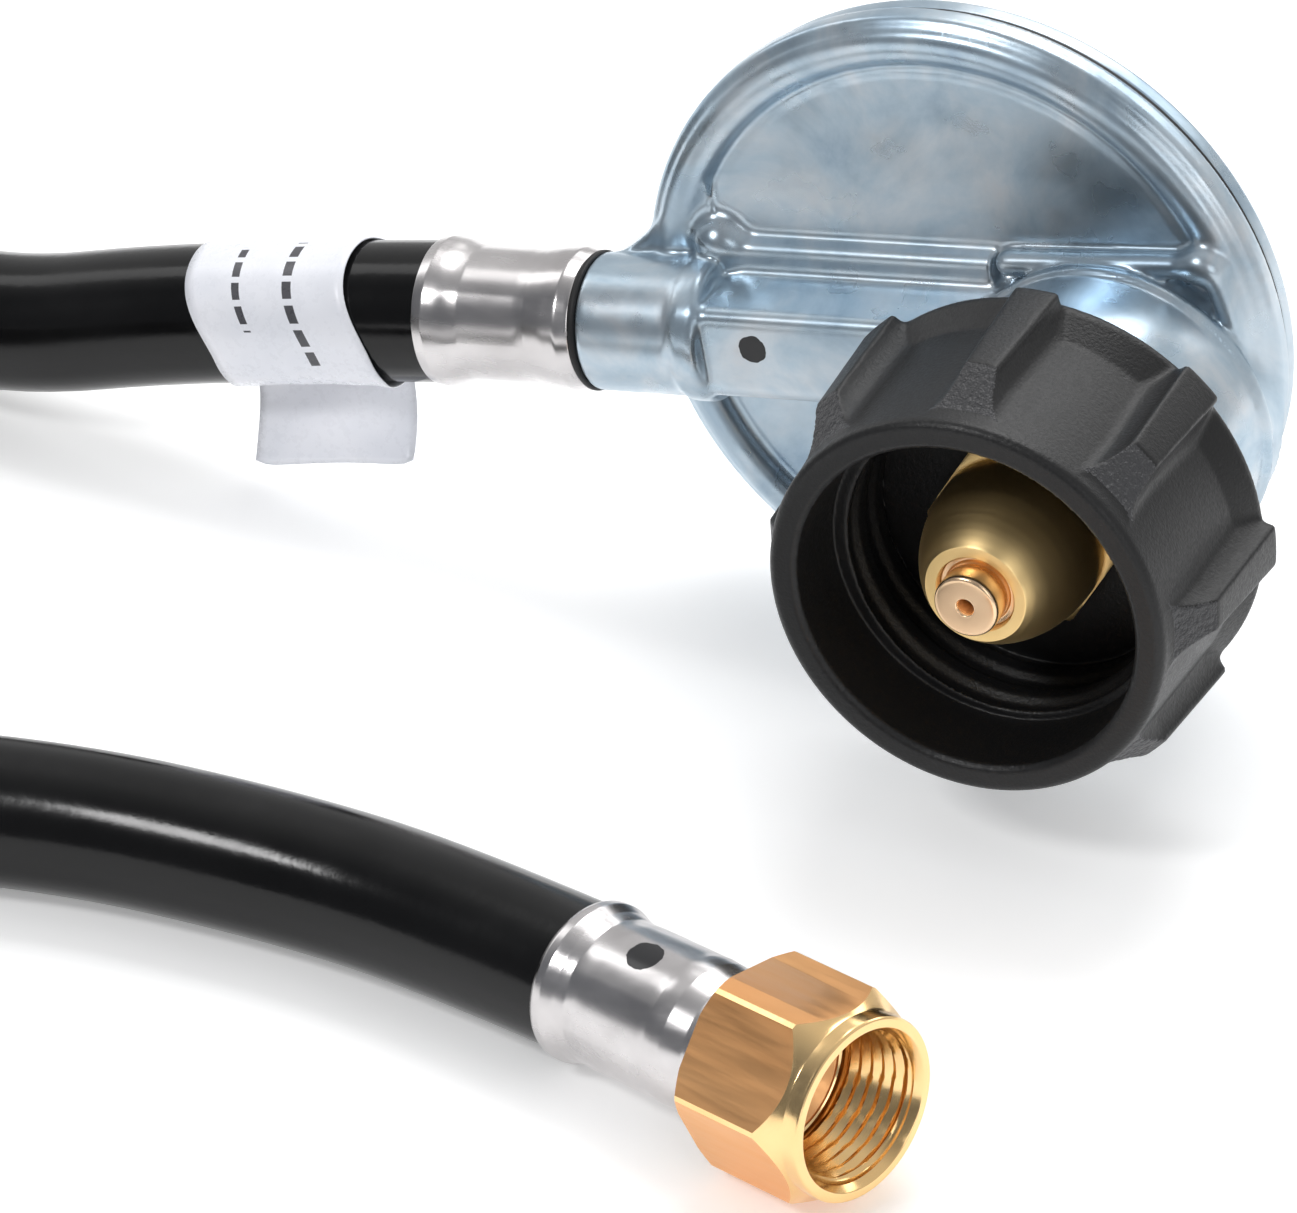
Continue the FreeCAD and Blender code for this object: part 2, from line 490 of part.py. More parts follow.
# ---------------------------------------------------------------- hose fittings
def make_outlet():
    """Barbed outlet stem, black seal ring and the crimped steel ferrule at the regulator."""
    start, end = dims.ferrule_start, dims.ferrule_end
    barb = dims.barb_radius
    keep(turned("outlet_spigot", outlet_frame, [
        (2.6, dims.neck_end - 8), (barb, dims.neck_end - 8), (barb, start + 2), (dims.hose_bore, start + 2),
        (dims.hose_bore, start + 5), (barb - 0.1, start + 5.4), (dims.hose_bore, start + 8),
        (barb - 0.1, start + 8.4), (dims.hose_bore, start + 11), (barb - 0.1, start + 11.4),
        (dims.hose_bore, start + 14), (dims.hose_bore - 0.5, start + 15), (2.6, start + 15)]), "outlet_stem")
    keep(turned("outlet_seal", outlet_frame, [
        (barb, dims.neck_end), (dims.seal_radius, dims.neck_end), (dims.seal_radius, start), (barb, start)]),
        "outlet_seal_ring")
    bulge, crimp, bore = dims.ferrule_bulge, dims.ferrule_crimp, dims.crimped_radius
    keep(turned("upper_ferrule", outlet_frame, [
        (barb, start), (7.3, start), (7.55, start + 1.2), (7.4, start + 3), (crimp, start + 3.6),
        (crimp, start + 8.6), (7.5, start + 9.4), (7.5, start + 10.2), (crimp, start + 10.8),
        (crimp, end - 4.6), (bulge - 0.2, end - 3), (bulge, end - 1.4), (bulge - 0.3, end),
        (dims.hose_radius, end), (bore, end - 1), (bore, start + 1.6), (barb, start + 1.6)]),
        "regulator_ferrule")


def make_flare_end():
    """Flare stem with its cone seat, the crimped ferrule and the hexagonal swivel nut."""
    rear = -dims.flare_ferrule_length
    neck, head = dims.flare_stem_radius, dims.flare_head_radius
    barb = dims.barb_radius
    keep(turned("flare_tail", flare_frame, [
        (2.6, rear + 3), (3.5, rear + 3), (dims.hose_bore, rear + 4), (barb - 0.1, rear + 6.6),
        (dims.hose_bore, rear + 7), (barb - 0.1, rear + 9.6), (dims.hose_bore, rear + 10),
        (barb - 0.1, rear + 12.6), (dims.hose_bore, rear + 13), (dims.hose_bore, -2), (neck, -2), (neck, 2.2),
        (head, 4.05), (head, 5.2), (head - 0.4, 5.2), (3.2, 1.9), (2.6, 0)]), "flare_stem")
    bulge = dims.ferrule_bulge
    bore = dims.crimped_radius
    keep(turned("lower_ferrule", flare_frame, [
        (neck, -0.5), (6.8, -0.5), (7.0, -1), (7.0, -2.6), (7.9, -5.6), (7.9, -9), (7.7, -9.6), (7.7, -16),
        (7.9, -17), (bulge, rear + 2), (bulge, rear + 0.6), (bulge - 0.4, rear),
        (dims.hose_radius, rear), (bore, rear + 1), (bore, -2), (neck, -2)]), "flare_ferrule")
    thread = dims.nut_thread_radius
    corner = dims.nut_flats / 2 / math.cos(math.pi / 6) + 0.05
    spun = turned("nut_turned", FreeCAD.Placement(), [
        (dims.nut_hole, 0), (corner - 1.1, 0), (corner, 0.65), (corner, dims.nut_hex_length - 0.5),
        (dims.nut_nose_radius, dims.nut_mouth - 2.1), (dims.nut_nose_radius, dims.nut_mouth - 0.5),
        (dims.nut_nose_radius - 0.5, dims.nut_mouth), (thread + 0.7, dims.nut_mouth),
        (thread, dims.nut_mouth - 0.7), (thread, dims.nut_relief), (thread + 0.4, dims.nut_relief),
        (thread + 0.4, 4.7), (dims.nut_hole, 1.95)])
    bar = hexagon("nut_bar", dims.nut_flats, 0, dims.nut_mouth)
    keep(common("nut", bar, spun, flare_frame), "flare_nut")


# ---------------------------------------------------------------- hose
def rounded_path(points):
    """Straight runs joined by tangent arcs, as one wire, with its length and the arcs' radii."""
    corners = [V(*point) for point in points]
    runs = [corners[i + 1] - corners[i] for i in range(len(corners) - 1)]
    edges = []
    radii = []
    here = corners[0]
    for index in range(1, len(corners) - 1):
        before, after = runs[index - 1], runs[index]
        half_turn = before.getAngle(after) / 2
        trim = 0.45 * min(before.Length, after.Length)
        radii.append(trim / math.tan(half_turn))
        start = corners[index] - before * (trim / before.Length)
        end = corners[index] + after * (trim / after.Length)
        bisector = (after / after.Length - before / before.Length).normalize()
        sagitta = radii[-1] * (1 / math.cos(half_turn) - 1)
        edges.append(Part.LineSegment(here, start).toShape())
        edges.append(Part.Arc(start, corners[index] + bisector * sagitta, end).toShape())
        here = end
    edges.append(Part.LineSegment(here, corners[-1]).toShape())
    wire = Part.Wire(edges)
    return wire, wire.Length, radii, runs


def swept(wire, start, direction, radius):
    """A solid of one round section along a wire."""
    circle = Part.Wire(Part.makeCircle(radius, start, direction))
    return wire.makePipeShell([circle], True, False)


def hose_tube(label, points, crimped_end, crimped_axis, crimped_length):
    """One hollow stretch of hose, with the part of it that is squeezed inside its ferrule."""
    wire, length, radii, runs = rounded_path(points)
    start = V(*points[0])
    outer = dims.hose_radius.value
    bore = dims.hose_bore.value
    tube = swept(wire, start, runs[0], outer).cut(swept(wire, start, runs[0], bore))
    section = math.pi * (outer ** 2 - bore ** 2)
    print(label, "length", round(length, 1), "radii", [round(radius) for radius in radii],
          "volume over section times length", round(tube.Volume / (section * length), 4))
    squeezed = Part.makeCylinder(dims.crimped_radius.value, crimped_length, crimped_end, crimped_axis)
    squeezed = squeezed.cut(Part.makeCylinder(bore, crimped_length, crimped_end, crimped_axis))
    thing = doc.addObject("Part::Feature", label)
    thing.Shape = Part.makeCompound([tube, squeezed])
    thing.Placement = stand
    return keep(thing, label)


def on_coil(radius, angle, height):
    """A point of the coil, from its centre, in the frame of the floor under the disc."""
    turn = math.radians(angle)
    return (dims.coil_x.value + radius * math.cos(turn), dims.coil_y.value + radius * math.sin(turn), height)


floor_frame = stand.inverse()


def in_floor_frame(frame, station):
    """A point on a frame's z axis, in the frame of the floor under the disc."""
    return (floor_frame * frame).multVec(V(0, 0, as_size(station).value))


def make_hose_leads():
    """The two stretches of hose that aren't coiled, each as points chosen by hand."""
    start = in_floor_frame(outlet_frame, dims.ferrule_end)
    inward = in_floor_frame(outlet_frame, dims.ferrule_start + 2) - start
    keep_height = dims.hose_radius.value + 0.05
    regulator_side = [tuple(start), (-83.3, -4.2, 18.3), (-112, -6.6, 9.4), (-141, -1.8, 10.2),
                      (-169, 7.5, 18.2), (-199, 5.5, 23.6)]
    hose_tube("hose_lead_regulator", regulator_side, start, inward, inward.Length)
    end = in_floor_frame(flare_frame, -dims.flare_ferrule_length)
    inward = in_floor_frame(flare_frame, -2) - end
    flare_side = [on_coil(dims.turn_outer.value, dims.exit_angle.value, keep_height),
                  (-117.5, -104.6, keep_height), (-90, -89.5, keep_height), (-62, -81.2, keep_height),
                  (-38.5, -79.6, keep_height), (-19.5, -80.8, keep_height + 0.1), tuple(end)]
    hose_tube("hose_lead_flare", flare_side, end, inward, inward.Length)


def make_coil():
    """The outer shape of the stored turns, open where the leads come in and where the tie goes round."""
    spot = place(dims.coil_x, dims.coil_y, 0)
    radius = dims.hose_radius
    top = radius * 4 + dims.tie_thick
    lower = cut("coil_lower", cylinder("coil_outside", dims.turn_outer + radius, 0, radius * 2, spot),
                cylinder("coil_inside", dims.turn_inner - radius, -1, radius * 2 + 1, spot))
    climb_spot = spot * place(0, 0, 0, FreeCAD.Rotation(Z_AXIS, 92))
    climb = cut("coil_climb", cylinder("climb_outside", 94, radius * 2, top, climb_spot, 60),
                cylinder("climb_inside", dims.turn_inner, 14, top + 1, spot))
    upper = cut("coil_upper", cylinder("upper_outside", dims.turn_outer + 2, radius * 2, top, climb_spot, 276),
                cylinder("upper_inside", dims.turn_inner - 0.5, 14, top + 1, spot))
    exit_spot = spot * place(0, 0, 0, FreeCAD.Rotation(Z_AXIS, dims.exit_angle.value))
    inner_side = dims.turn_outer - radius - 0.1
    exit_gap = block("coil_exit_gap", (inner_side, inner_side + 40), (0, 70), (-1, 15.4), exit_spot)
    entry_spot = place(-199, 5.5, 0, FreeCAD.Rotation(Z_AXIS, 5.9))
    entry_gap = block("coil_entry_gap", (0, 60), (-16, 30), (15.05, 40), entry_spot)
    tie_spot = spot * place(0, 0, 0, FreeCAD.Rotation(Z_AXIS, dims.tie_angle.value))
    across = (dims.turn_inner - radius, dims.turn_outer + radius)
    under = block("coil_tie_groove", (across[0] - 1, across[1] + 1), (-dims.tie_width / 2, dims.tie_width / 2),
                  (-1, dims.tie_thick), tie_spot)
    over = block("coil_tie_gap", (across[0] - 1, across[1] + 1), (-dims.tie_width / 2, dims.tie_width / 2),
                 (top - 0.01, top + 1), tie_spot)
    keep(cut("coil", fused("coil_solid", [lower, climb, upper]),
             fused("coil_gaps", [exit_gap, entry_gap, under, over]), stand), "hose_coil")
    outer = block("tie_outer", (across[0] - dims.tie_thick, across[1] + dims.tie_thick),
                  (-dims.tie_width / 2, dims.tie_width / 2), (0, top + dims.tie_thick), tie_spot)
    inner = block("tie_inner", across, (-dims.tie_width / 2 - 1, dims.tie_width / 2 + 1),
                  (dims.tie_thick, top), tie_spot)
    keep(cut("tie", outer, inner, stand), "coil_tie")


def make_label():
    """Paper label: a sleeve round the hose and a flag of its two ends stuck together, hanging below."""
    radius = dims.hose_radius
    low = dims.ferrule_end + dims.label_start
    high = low + dims.label_width
    sleeve = cut("label_sleeve", cylinder("label_outside", radius + dims.label_thick, low, high),
                 cylinder("label_inside", radius, low - 1, high + 1))
    flag = block("label_flag", (as_size(2.2), dims.label_thick * 2 + 2.2),
                 (-radius - dims.flag_drop, -radius + 0.6), (low - 3, high - 3))
    clear = cylinder("label_clear", radius, low - 4, high + 1)
    keep(fused("label_all", [sleeve, cut("label_flag_cut", flag, clear)], outlet_frame), "label")


# ---------------------------------------------------------------- build, check, write
def check_document():
    """Stop if any feature failed or any sub-part's shape isn't a valid solid."""
    for thing in doc.Objects:
        if "Invalid" in thing.State or "Error" in thing.State:
            raise RuntimeError(f"{thing.Name} failed: {thing.State}")
    for thing in subparts:
        if thing.Shape.isNull() or not thing.Shape.isValid() or not thing.Shape.Solids:
            raise RuntimeError(f"{thing.Label} has no valid shape")


def write_parts():
    os.makedirs("parts", exist_ok=True)
    for thing in subparts:
        thing.Shape.exportStep(f"parts/{thing.Label}.step")
        box = thing.Shape.BoundBox
        print(f"{thing.Label:24s} solids {len(thing.Shape.Solids)} volume {thing.Shape.Volume:10.1f}"
              f"  x {box.XMin:8.2f} {box.XMax:8.2f}  y {box.YMin:8.2f} {box.YMax:8.2f}"
              f"  z {box.ZMin:6.2f} {box.ZMax:6.2f}")


make_casting()
make_back_cover()
make_tower_pieces()
make_diaphragm_group()
make_lever()
make_inlet()
make_handwheel()
make_outlet()
make_flare_end()
make_hose_leads()
make_coil()
make_label()
doc.recompute()
check_document()
write_parts()
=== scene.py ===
"""Looks of the propane regulator hose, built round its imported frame.

Shapes are worked out in millimetres in a local frame and placed in metres in the row's frame.
"""
import functools
import json
import math

import bmesh
import bpy
import numpy as np
from mathutils import Matrix, Vector


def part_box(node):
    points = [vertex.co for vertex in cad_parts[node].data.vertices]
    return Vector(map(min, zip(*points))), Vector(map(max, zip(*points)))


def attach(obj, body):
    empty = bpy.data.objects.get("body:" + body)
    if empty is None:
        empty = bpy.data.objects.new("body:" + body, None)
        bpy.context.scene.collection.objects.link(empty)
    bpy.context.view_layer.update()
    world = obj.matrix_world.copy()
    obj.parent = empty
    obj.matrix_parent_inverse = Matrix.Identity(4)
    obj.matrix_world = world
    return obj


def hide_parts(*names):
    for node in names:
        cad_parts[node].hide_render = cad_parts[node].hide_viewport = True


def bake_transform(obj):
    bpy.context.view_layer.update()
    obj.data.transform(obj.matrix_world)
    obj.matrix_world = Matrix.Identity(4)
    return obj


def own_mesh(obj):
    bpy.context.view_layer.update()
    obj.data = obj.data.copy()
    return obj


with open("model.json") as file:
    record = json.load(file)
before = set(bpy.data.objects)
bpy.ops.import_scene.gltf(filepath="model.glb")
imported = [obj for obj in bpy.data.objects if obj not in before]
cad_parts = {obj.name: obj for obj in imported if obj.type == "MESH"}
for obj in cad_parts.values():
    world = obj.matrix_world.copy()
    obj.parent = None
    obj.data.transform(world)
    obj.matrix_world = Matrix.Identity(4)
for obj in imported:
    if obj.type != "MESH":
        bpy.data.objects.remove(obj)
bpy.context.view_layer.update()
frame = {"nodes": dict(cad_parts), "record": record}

MM = 0.001
TAU = 2 * math.pi


# ---- frames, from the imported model
def joint_named(name):
    return [joint for joint in frame["record"]["behaviour"]["joints"] if joint["name"] == name][0]


def unit(vector):
    vector = np.asarray(vector, float)
    return vector / np.linalg.norm(vector)


class Frame:
    """A local frame in millimetres: an origin and three axes, in the row's frame."""

    def __init__(self, origin, x, y, z):
        self.origin = np.asarray(origin, float)
        self.axes = np.array([unit(x), unit(y), unit(z)])

    def out(self, points):
        """Local millimetres to metres in the row's frame."""
        return (np.asarray(points, float) @ self.axes + self.origin) * MM


LEAN = math.radians(10.5)
COVER_LOW, COVER_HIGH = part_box("back_cover")
disc = (np.array(COVER_LOW) + np.array(COVER_HIGH)) / 2 / MM
RIM_DEPTH = 3.0
RIM_RADIUS = 35.0
disc[1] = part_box("diaphragm")[0][1] / MM - RIM_DEPTH
disc[2] = RIM_RADIUS
FORWARD = np.array([0, -1, 0])
CAST_X = np.array([math.cos(LEAN), 0, math.sin(LEAN)])
CAST_Z = np.array([-math.sin(LEAN), 0, math.cos(LEAN)])
casting_frame = Frame(disc, CAST_X, CAST_Z, FORWARD)
wheel_joint = joint_named("handwheel_turn")
inlet_frame = Frame(np.array(wheel_joint["pos_m"]) / MM, (1, 0, 0), (0, 0, 1), FORWARD)
inlet_frame.origin[1] = disc[1]
OUTLET_STATION = 3.5
outlet_frame = Frame(disc + OUTLET_STATION * FORWARD, CAST_Z, np.cross(-CAST_X, CAST_Z), -CAST_X)
nut_joint = joint_named("flare_nut_turn")
nut_ahead = unit(nut_joint["axis"])
nut_side = unit(np.cross((0, 0, 1), nut_ahead))
nut_frame = Frame(np.array(nut_joint["pos_m"]) / MM, nut_side, np.cross(nut_ahead, nut_side), nut_ahead)
floor_frame = Frame((disc[0], disc[1], 0), (1, 0, 0), (0, 1, 0), (0, 0, 1))


# ---- mesh helpers
def linked(name, data):
    """A new object in the scene."""
    thing = bpy.data.objects.new(name, data)
    bpy.context.scene.collection.objects.link(thing)
    return thing


def mesh_object(name, vertices, faces, body, material, smooth_angle=35):
    """A mesh piece that rides on a body, or on none."""
    mesh = bpy.data.meshes.new(name)
    mesh.from_pydata([tuple(v) for v in vertices], [], [tuple(int(i) for i in f) for f in faces])
    mesh.update()
    mesh.shade_smooth()
    if smooth_angle is not None:
        mesh.set_sharp_from_angle(angle=math.radians(smooth_angle))
    mesh.materials.append(material)
    thing = linked(name, mesh)
    if body is not None:
        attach(thing, body)
    return thing


def lofted(name, rings, body, material, smooth_angle=35, closed=False):
    """A solid through rings of points, in metres. It ends in flat caps, or its last ring meets its first."""
    rings = np.asarray(rings)
    count, around = rings.shape[:2]
    last = (count - 1) * around
    faces = [] if closed else [tuple(range(around))[::-1], tuple(range(last, last + around))]
    for row in range(count if closed else count - 1):
        here, there = row * around, (row + 1) % count * around
        for i in range(around):
            nxt = (i + 1) % around
            faces.append((here + i, here + nxt, there + nxt, there + i))
    thing = mesh_object(name, rings.reshape(-1, 3), faces, body, material, smooth_angle)
    clean_mesh(thing.data)
    return thing


def clean_mesh(mesh):
    """Merge points that meet, drop empty faces and turn the normals outwards."""
    work = bmesh.new()
    work.from_mesh(mesh)
    bmesh.ops.remove_doubles(work, verts=work.verts, dist=1e-7)
    bmesh.ops.dissolve_degenerate(work, edges=work.edges, dist=1e-8)
    bmesh.ops.recalc_face_normals(work, faces=work.faces)
    work.to_mesh(mesh)
    work.free()
    mesh.update()


def rounded(outline, radius=0.4, steps=4):
    """Closed (across, along) outline with its corners rounded. A corner may carry its own radius."""
    points = [np.array(point[:2], float) for point in outline]
    radii = [point[2] if len(point) > 2 else radius for point in outline]
    count = len(points)
    result = []
    for index in range(count):
        here, before, after = points[index], points[index - 1], points[(index + 1) % count]
        a, b = before - here, after - here
        la, lb = np.linalg.norm(a), np.linalg.norm(b)
        a, b = a / la, b / lb
        half = math.acos(float(np.clip(a @ b, -1, 1))) / 2
        if radii[index] <= 0 or half > math.radians(88):
            result.append(here)
            continue
        trim = min(radii[index] / math.tan(half), 0.45 * la, 0.45 * lb)
        start, end = here + a * trim, here + b * trim
        for step in range(steps + 1):
            t = step / steps
            result.append((1 - t) ** 2 * start + 2 * t * (1 - t) * here + t ** 2 * end)
    return np.array(result)


def lathe(name, where, outline, body, material, segments=128, shape=None, smooth_angle=35):
    """A closed turned piece. shape(angles, radii, stations) may change both, for flats and threads."""
    angles = np.arange(segments) * TAU / segments
    rings = []
    for radius, station in outline:
        radii, stations = np.full(segments, float(radius)), np.full(segments, float(station))
        if shape is not None:
            radii, stations = shape(angles, radii, stations)
        rings.append(where.out(np.stack([radii * np.cos(angles), radii * np.sin(angles), stations], 1)))
    return lofted(name, rings, body, material, smooth_angle, closed=True)


HEXAGON_CORNER = 0.5 / math.cos(math.pi / 6)
CORNER_WEAR = 0.15


def hexagon_radius(angles, flats):
    """Radius of a hexagon with slightly worn corners at each angle."""
    folded = (angles + math.pi / 6) % (math.pi / 3) - math.pi / 6
    flat = flats / 2 / np.cos(math.pi / 6 - np.abs(folded))
    return np.minimum(flat, HEXAGON_CORNER * flats - CORNER_WEAR)


def hexagon_rows(flats, roll, back, front):
    """Cuts a turned outline to a hexagon whose chamfers run out on its flats.

    back and front are its chamfers: the station at the corners, then the station and radius at the end face.
    """
    corner = HEXAGON_CORNER * flats
    back_slope = (back[0] - back[1]) / (corner - back[2])
    front_slope = (front[1] - front[0]) / (corner - front[2])

    def shape(angles, radii, stations):
        flat = hexagon_radius(angles - roll, flats)
        over = np.maximum(radii - flat, 0)
        if stations[0] <= back[0] + 1e-6:
            stations = np.maximum(stations - over * back_slope, back[1])
        elif stations[0] >= front[0] - 1e-6:
            stations = np.minimum(stations + over * front_slope, front[1])
        return np.minimum(radii, flat), stations
    return shape


# ---- distance field helpers
def blend_min(a, b, k):
    """Union of two distances with a fillet of about k."""
    h = np.clip(0.5 + 0.5 * (b - a) / k, 0, 1)
    return b + (a - b) * h - k * h * (1 - h)


def blend_max(a, b, k):
    return -blend_min(-a, -b, k)


def ball(p, centre, radius):
    return np.linalg.norm(p - np.array(centre, np.float32), axis=1) - radius


def most(*distances):
    """What lies in all of the shapes."""
    return functools.reduce(np.maximum, distances)


def least(*distances):
    """What lies in any of the shapes."""
    return functools.reduce(np.minimum, distances)


def drum(radial, along, radius, low, high, rounding=0.0):
    """A cylinder given each point's distance from its axis and station along it."""
    a = radial - radius + rounding
    b = np.abs(along - (low + high) / 2) - (high - low) / 2 + rounding
    return np.hypot(np.maximum(a, 0), np.maximum(b, 0)) + np.minimum(np.maximum(a, b), 0) - rounding


def rod(p, start, end, radius):
    """A bar with round ends."""
    start, end = np.array(start, np.float32), np.array(end, np.float32)
    line = end - start
    t = np.clip((p - start) @ line / (line @ line), 0, 1)
    return np.linalg.norm(p - start - t[:, None] * line, axis=1) - radius


def surface_net(field, low, high, step):
    """The zero surface of field(points) in a box, as vertices on the surface and quads."""
    low = np.array(low, np.float32)
    counts = np.ceil((np.array(high) - low) / step).astype(int) + 1
    axes = [low[i] + step * np.arange(counts[i], dtype=np.float32) for i in range(3)]
    grid = np.empty(tuple(counts), np.float32)
    for index, x in enumerate(axes[0]):
        y, z = np.meshgrid(axes[1], axes[2], indexing="ij")
        layer = np.stack([np.full(y.size, x, np.float32), y.ravel(), z.ravel()], 1)
        grid[index] = field(layer).reshape(y.shape)
    inside = grid < 0
    cells = np.zeros(tuple(counts - 1), np.int8)
    corners = [(i, j, k) for i in (0, 1) for j in (0, 1) for k in (0, 1)]
    for corner in corners:
        cells += inside[tuple(slice(c, c + n - 1) for c, n in zip(corner, counts))]
    active = np.argwhere((cells > 0) & (cells < 8))
    values = np.stack([grid[tuple((active + corner).T)] for corner in corners], 1)
    total = np.zeros((len(active), 3), np.float32)
    hits = np.zeros(len(active), np.float32)
    for a, b in [(a, b) for a in range(8) for b in range(a + 1, 8) if a ^ b in (1, 2, 4)]:
        start, line = np.array(corners[a]), np.array(corners[b]) - np.array(corners[a])
        fa, fb = values[:, a], values[:, b]
        crossing = (fa < 0) != (fb < 0)
        t = np.where(crossing, fa / np.where(crossing, fa - fb, 1), 0)
        total += crossing[:, None] * (start + t[:, None] * line)
        hits += crossing
    vertices = low + step * (active + total / hits[:, None])
    number = np.full(tuple(counts - 1), -1, np.int32)
    number[tuple(active.T)] = np.arange(len(active))
    quads = []
    for axis in range(3):
        sides = [(axis + 1) % 3, (axis + 2) % 3]
        spots = np.argwhere(np.diff(inside, axis=axis))
        spots = spots[((spots[:, sides] > 0) & (spots[:, sides] < counts[sides] - 1)).all(axis=1)]
        back_u, back_v = np.eye(3, dtype=int)[sides]
        ring = [spots - back_u - back_v, spots - back_v, spots, spots - back_u]
        quad = np.stack([number[tuple(corner.T)] for corner in ring], 1)
        outward = inside[tuple(spots.T)]
        quads.append(np.where(outward[:, None], quad, quad[:, ::-1]))
    quads = np.concatenate(quads)
    quads = quads[(quads >= 0).all(axis=1)]
    for _ in range(2):
        vertices = settle(field, vertices, step)
    return vertices, quads


def settle(field, vertices, step):
    """Move vertices along the field's slope onto its zero surface, by at most part of a cell."""
    small = 0.05 * step
    here = field(vertices)
    slope = np.stack([field(vertices + np.array(axis, np.float32) * small) - here
                      for axis in np.eye(3)], 1) / small
    move = -here[:, None] * slope / np.maximum((slope ** 2).sum(axis=1), 0.25)[:, None]
    length = np.linalg.norm(move, axis=1)
    limit = np.minimum(1, 0.35 * step / np.maximum(length, 1e-9))
    return vertices + move * limit[:, None]


# ---- materials
class Shader:
    """A Principled material with short names for the nodes that it's built from."""

    def __init__(self, name, **values):
        self.material = bpy.data.materials.new(name)
        self.material.use_nodes = True
        self.nodes = self.material.node_tree.nodes
        self.links = self.material.node_tree.links
        self.bsdf = self.nodes["Principled BSDF"]
        for socket, value in values.items():
            self.feed(self.bsdf.inputs[socket.replace("_", " ")], value)
        self.place = self.nodes.new("ShaderNodeTexCoord").outputs["Object"]

    def feed(self, socket, value):
        """Link an output to a socket, or set the socket to a number or a colour."""
        if hasattr(value, "links"):
            self.links.new(value, socket)
        elif socket.type == "RGBA":
            socket.default_value = (*value, 1)
        else:
            socket.default_value = value

    def add(self, kind, **inputs):
        node = self.nodes.new("ShaderNode" + kind)
        for socket, value in inputs.items():
            self.feed(node.inputs[socket.replace("_", " ")], value)
        return node

    def stretched(self, scale, rotation=(0, 0, 0)):
        """The object's coordinates, turned and stretched."""
        return self.add("Mapping", Vector=self.place, Scale=scale, Rotation=rotation).outputs[0]

    def drawn_along(self, direction, factor):
        """The object's coordinates, with everything drawn out along a direction by a factor."""
        yaw, pitch = math.atan2(direction[1], direction[0]), -math.asin(direction[2])
        node = self.add("Mapping", Vector=self.place, Scale=(factor, 1, 1), Rotation=(0, pitch, yaw))
        node.vector_type = "TEXTURE"
        return node.outputs[0]

    def noise(self, scale, detail=4.0, roughness=0.55, where=None, distortion=0.0):
        return self.add("TexNoise", Vector=where or self.place, Scale=scale, Detail=detail,
                        Roughness=roughness, Distortion=distortion).outputs[0]

    def ramp(self, value, stops):
        """A colour ramp from (position, grey or colour) stops."""
        node = self.add("ValToRGB", Fac=value)
        elements = node.color_ramp.elements
        while len(elements) < len(stops):
            elements.new(0.5)
        for element, (position, colour) in zip(elements, stops):
            element.position = position
            element.color = (*colour, 1) if isinstance(colour, tuple) else (colour, colour, colour, 1)
        return node.outputs[0]

    def span(self, value, low, high):
        """From low to high over the middle of a noise's range."""
        return self.ramp(value, [(0.3, low), (0.7, high)])

    def mix(self, amount, a, b, blend="MIX"):
        node = self.nodes.new("ShaderNodeMix")
        node.data_type, node.blend_type = "RGBA", blend
        for socket, value in ((0, amount), (6, a), (7, b)):
            self.feed(node.inputs[socket], value)
        return node.outputs[2]

    def math(self, operation, a, b=0.0):
        node = self.nodes.new("ShaderNodeMath")
        node.operation = operation
        self.feed(node.inputs[0], a)
        self.feed(node.inputs[1], b)
        return node.outputs[0]

    def blot(self, under, centre, radius, tone, metallic):
        """Black marker over a colour, in an uneven blot round a point in mm, where the metal doesn't show."""
        apart = self.nodes.new("ShaderNodeVectorMath")
        apart.operation = "DISTANCE"
        self.feed(apart.inputs[0], self.place)
        self.feed(apart.inputs[1], tuple(np.asarray(centre) * MM))
        edge = self.math("MULTIPLY", self.noise(900, 3), radius * MM * BLOT_WOBBLE)
        size = self.math("ADD", edge, radius * MM * (1 - BLOT_WOBBLE / 2))
        ink = self.math("LESS_THAN", apart.outputs["Value"], size)
        self.colour(self.mix(ink, under, tone))
        bare = self.math("SUBTRACT", 1.0, ink)
        self.feed(self.bsdf.inputs["Metallic"], self.math("MULTIPLY", bare, metallic))

    def colour(self, output):
        self.feed(self.bsdf.inputs["Base Color"], output)

    def rough(self, output):
        self.feed(self.bsdf.inputs["Roughness"], output)

    def bump(self, height, strength, distance):
        node = self.add("Bump", Height=height, Strength=strength, Distance=distance)
        previous = self.bsdf.inputs["Normal"].links
        if previous:
            self.feed(node.inputs["Normal"], previous[0].from_socket)
        self.feed(self.bsdf.inputs["Normal"], node.outputs[0])

    def finished(self, colour, grain, low, high, strength, distance):
        """The material, with a colour and with one grain for its roughness and its bumps."""
        self.colour(colour)
        self.rough(self.span(grain, low, high))
        self.bump(grain, strength, distance)
        return self.material


BLOT_WOBBLE = 0.35


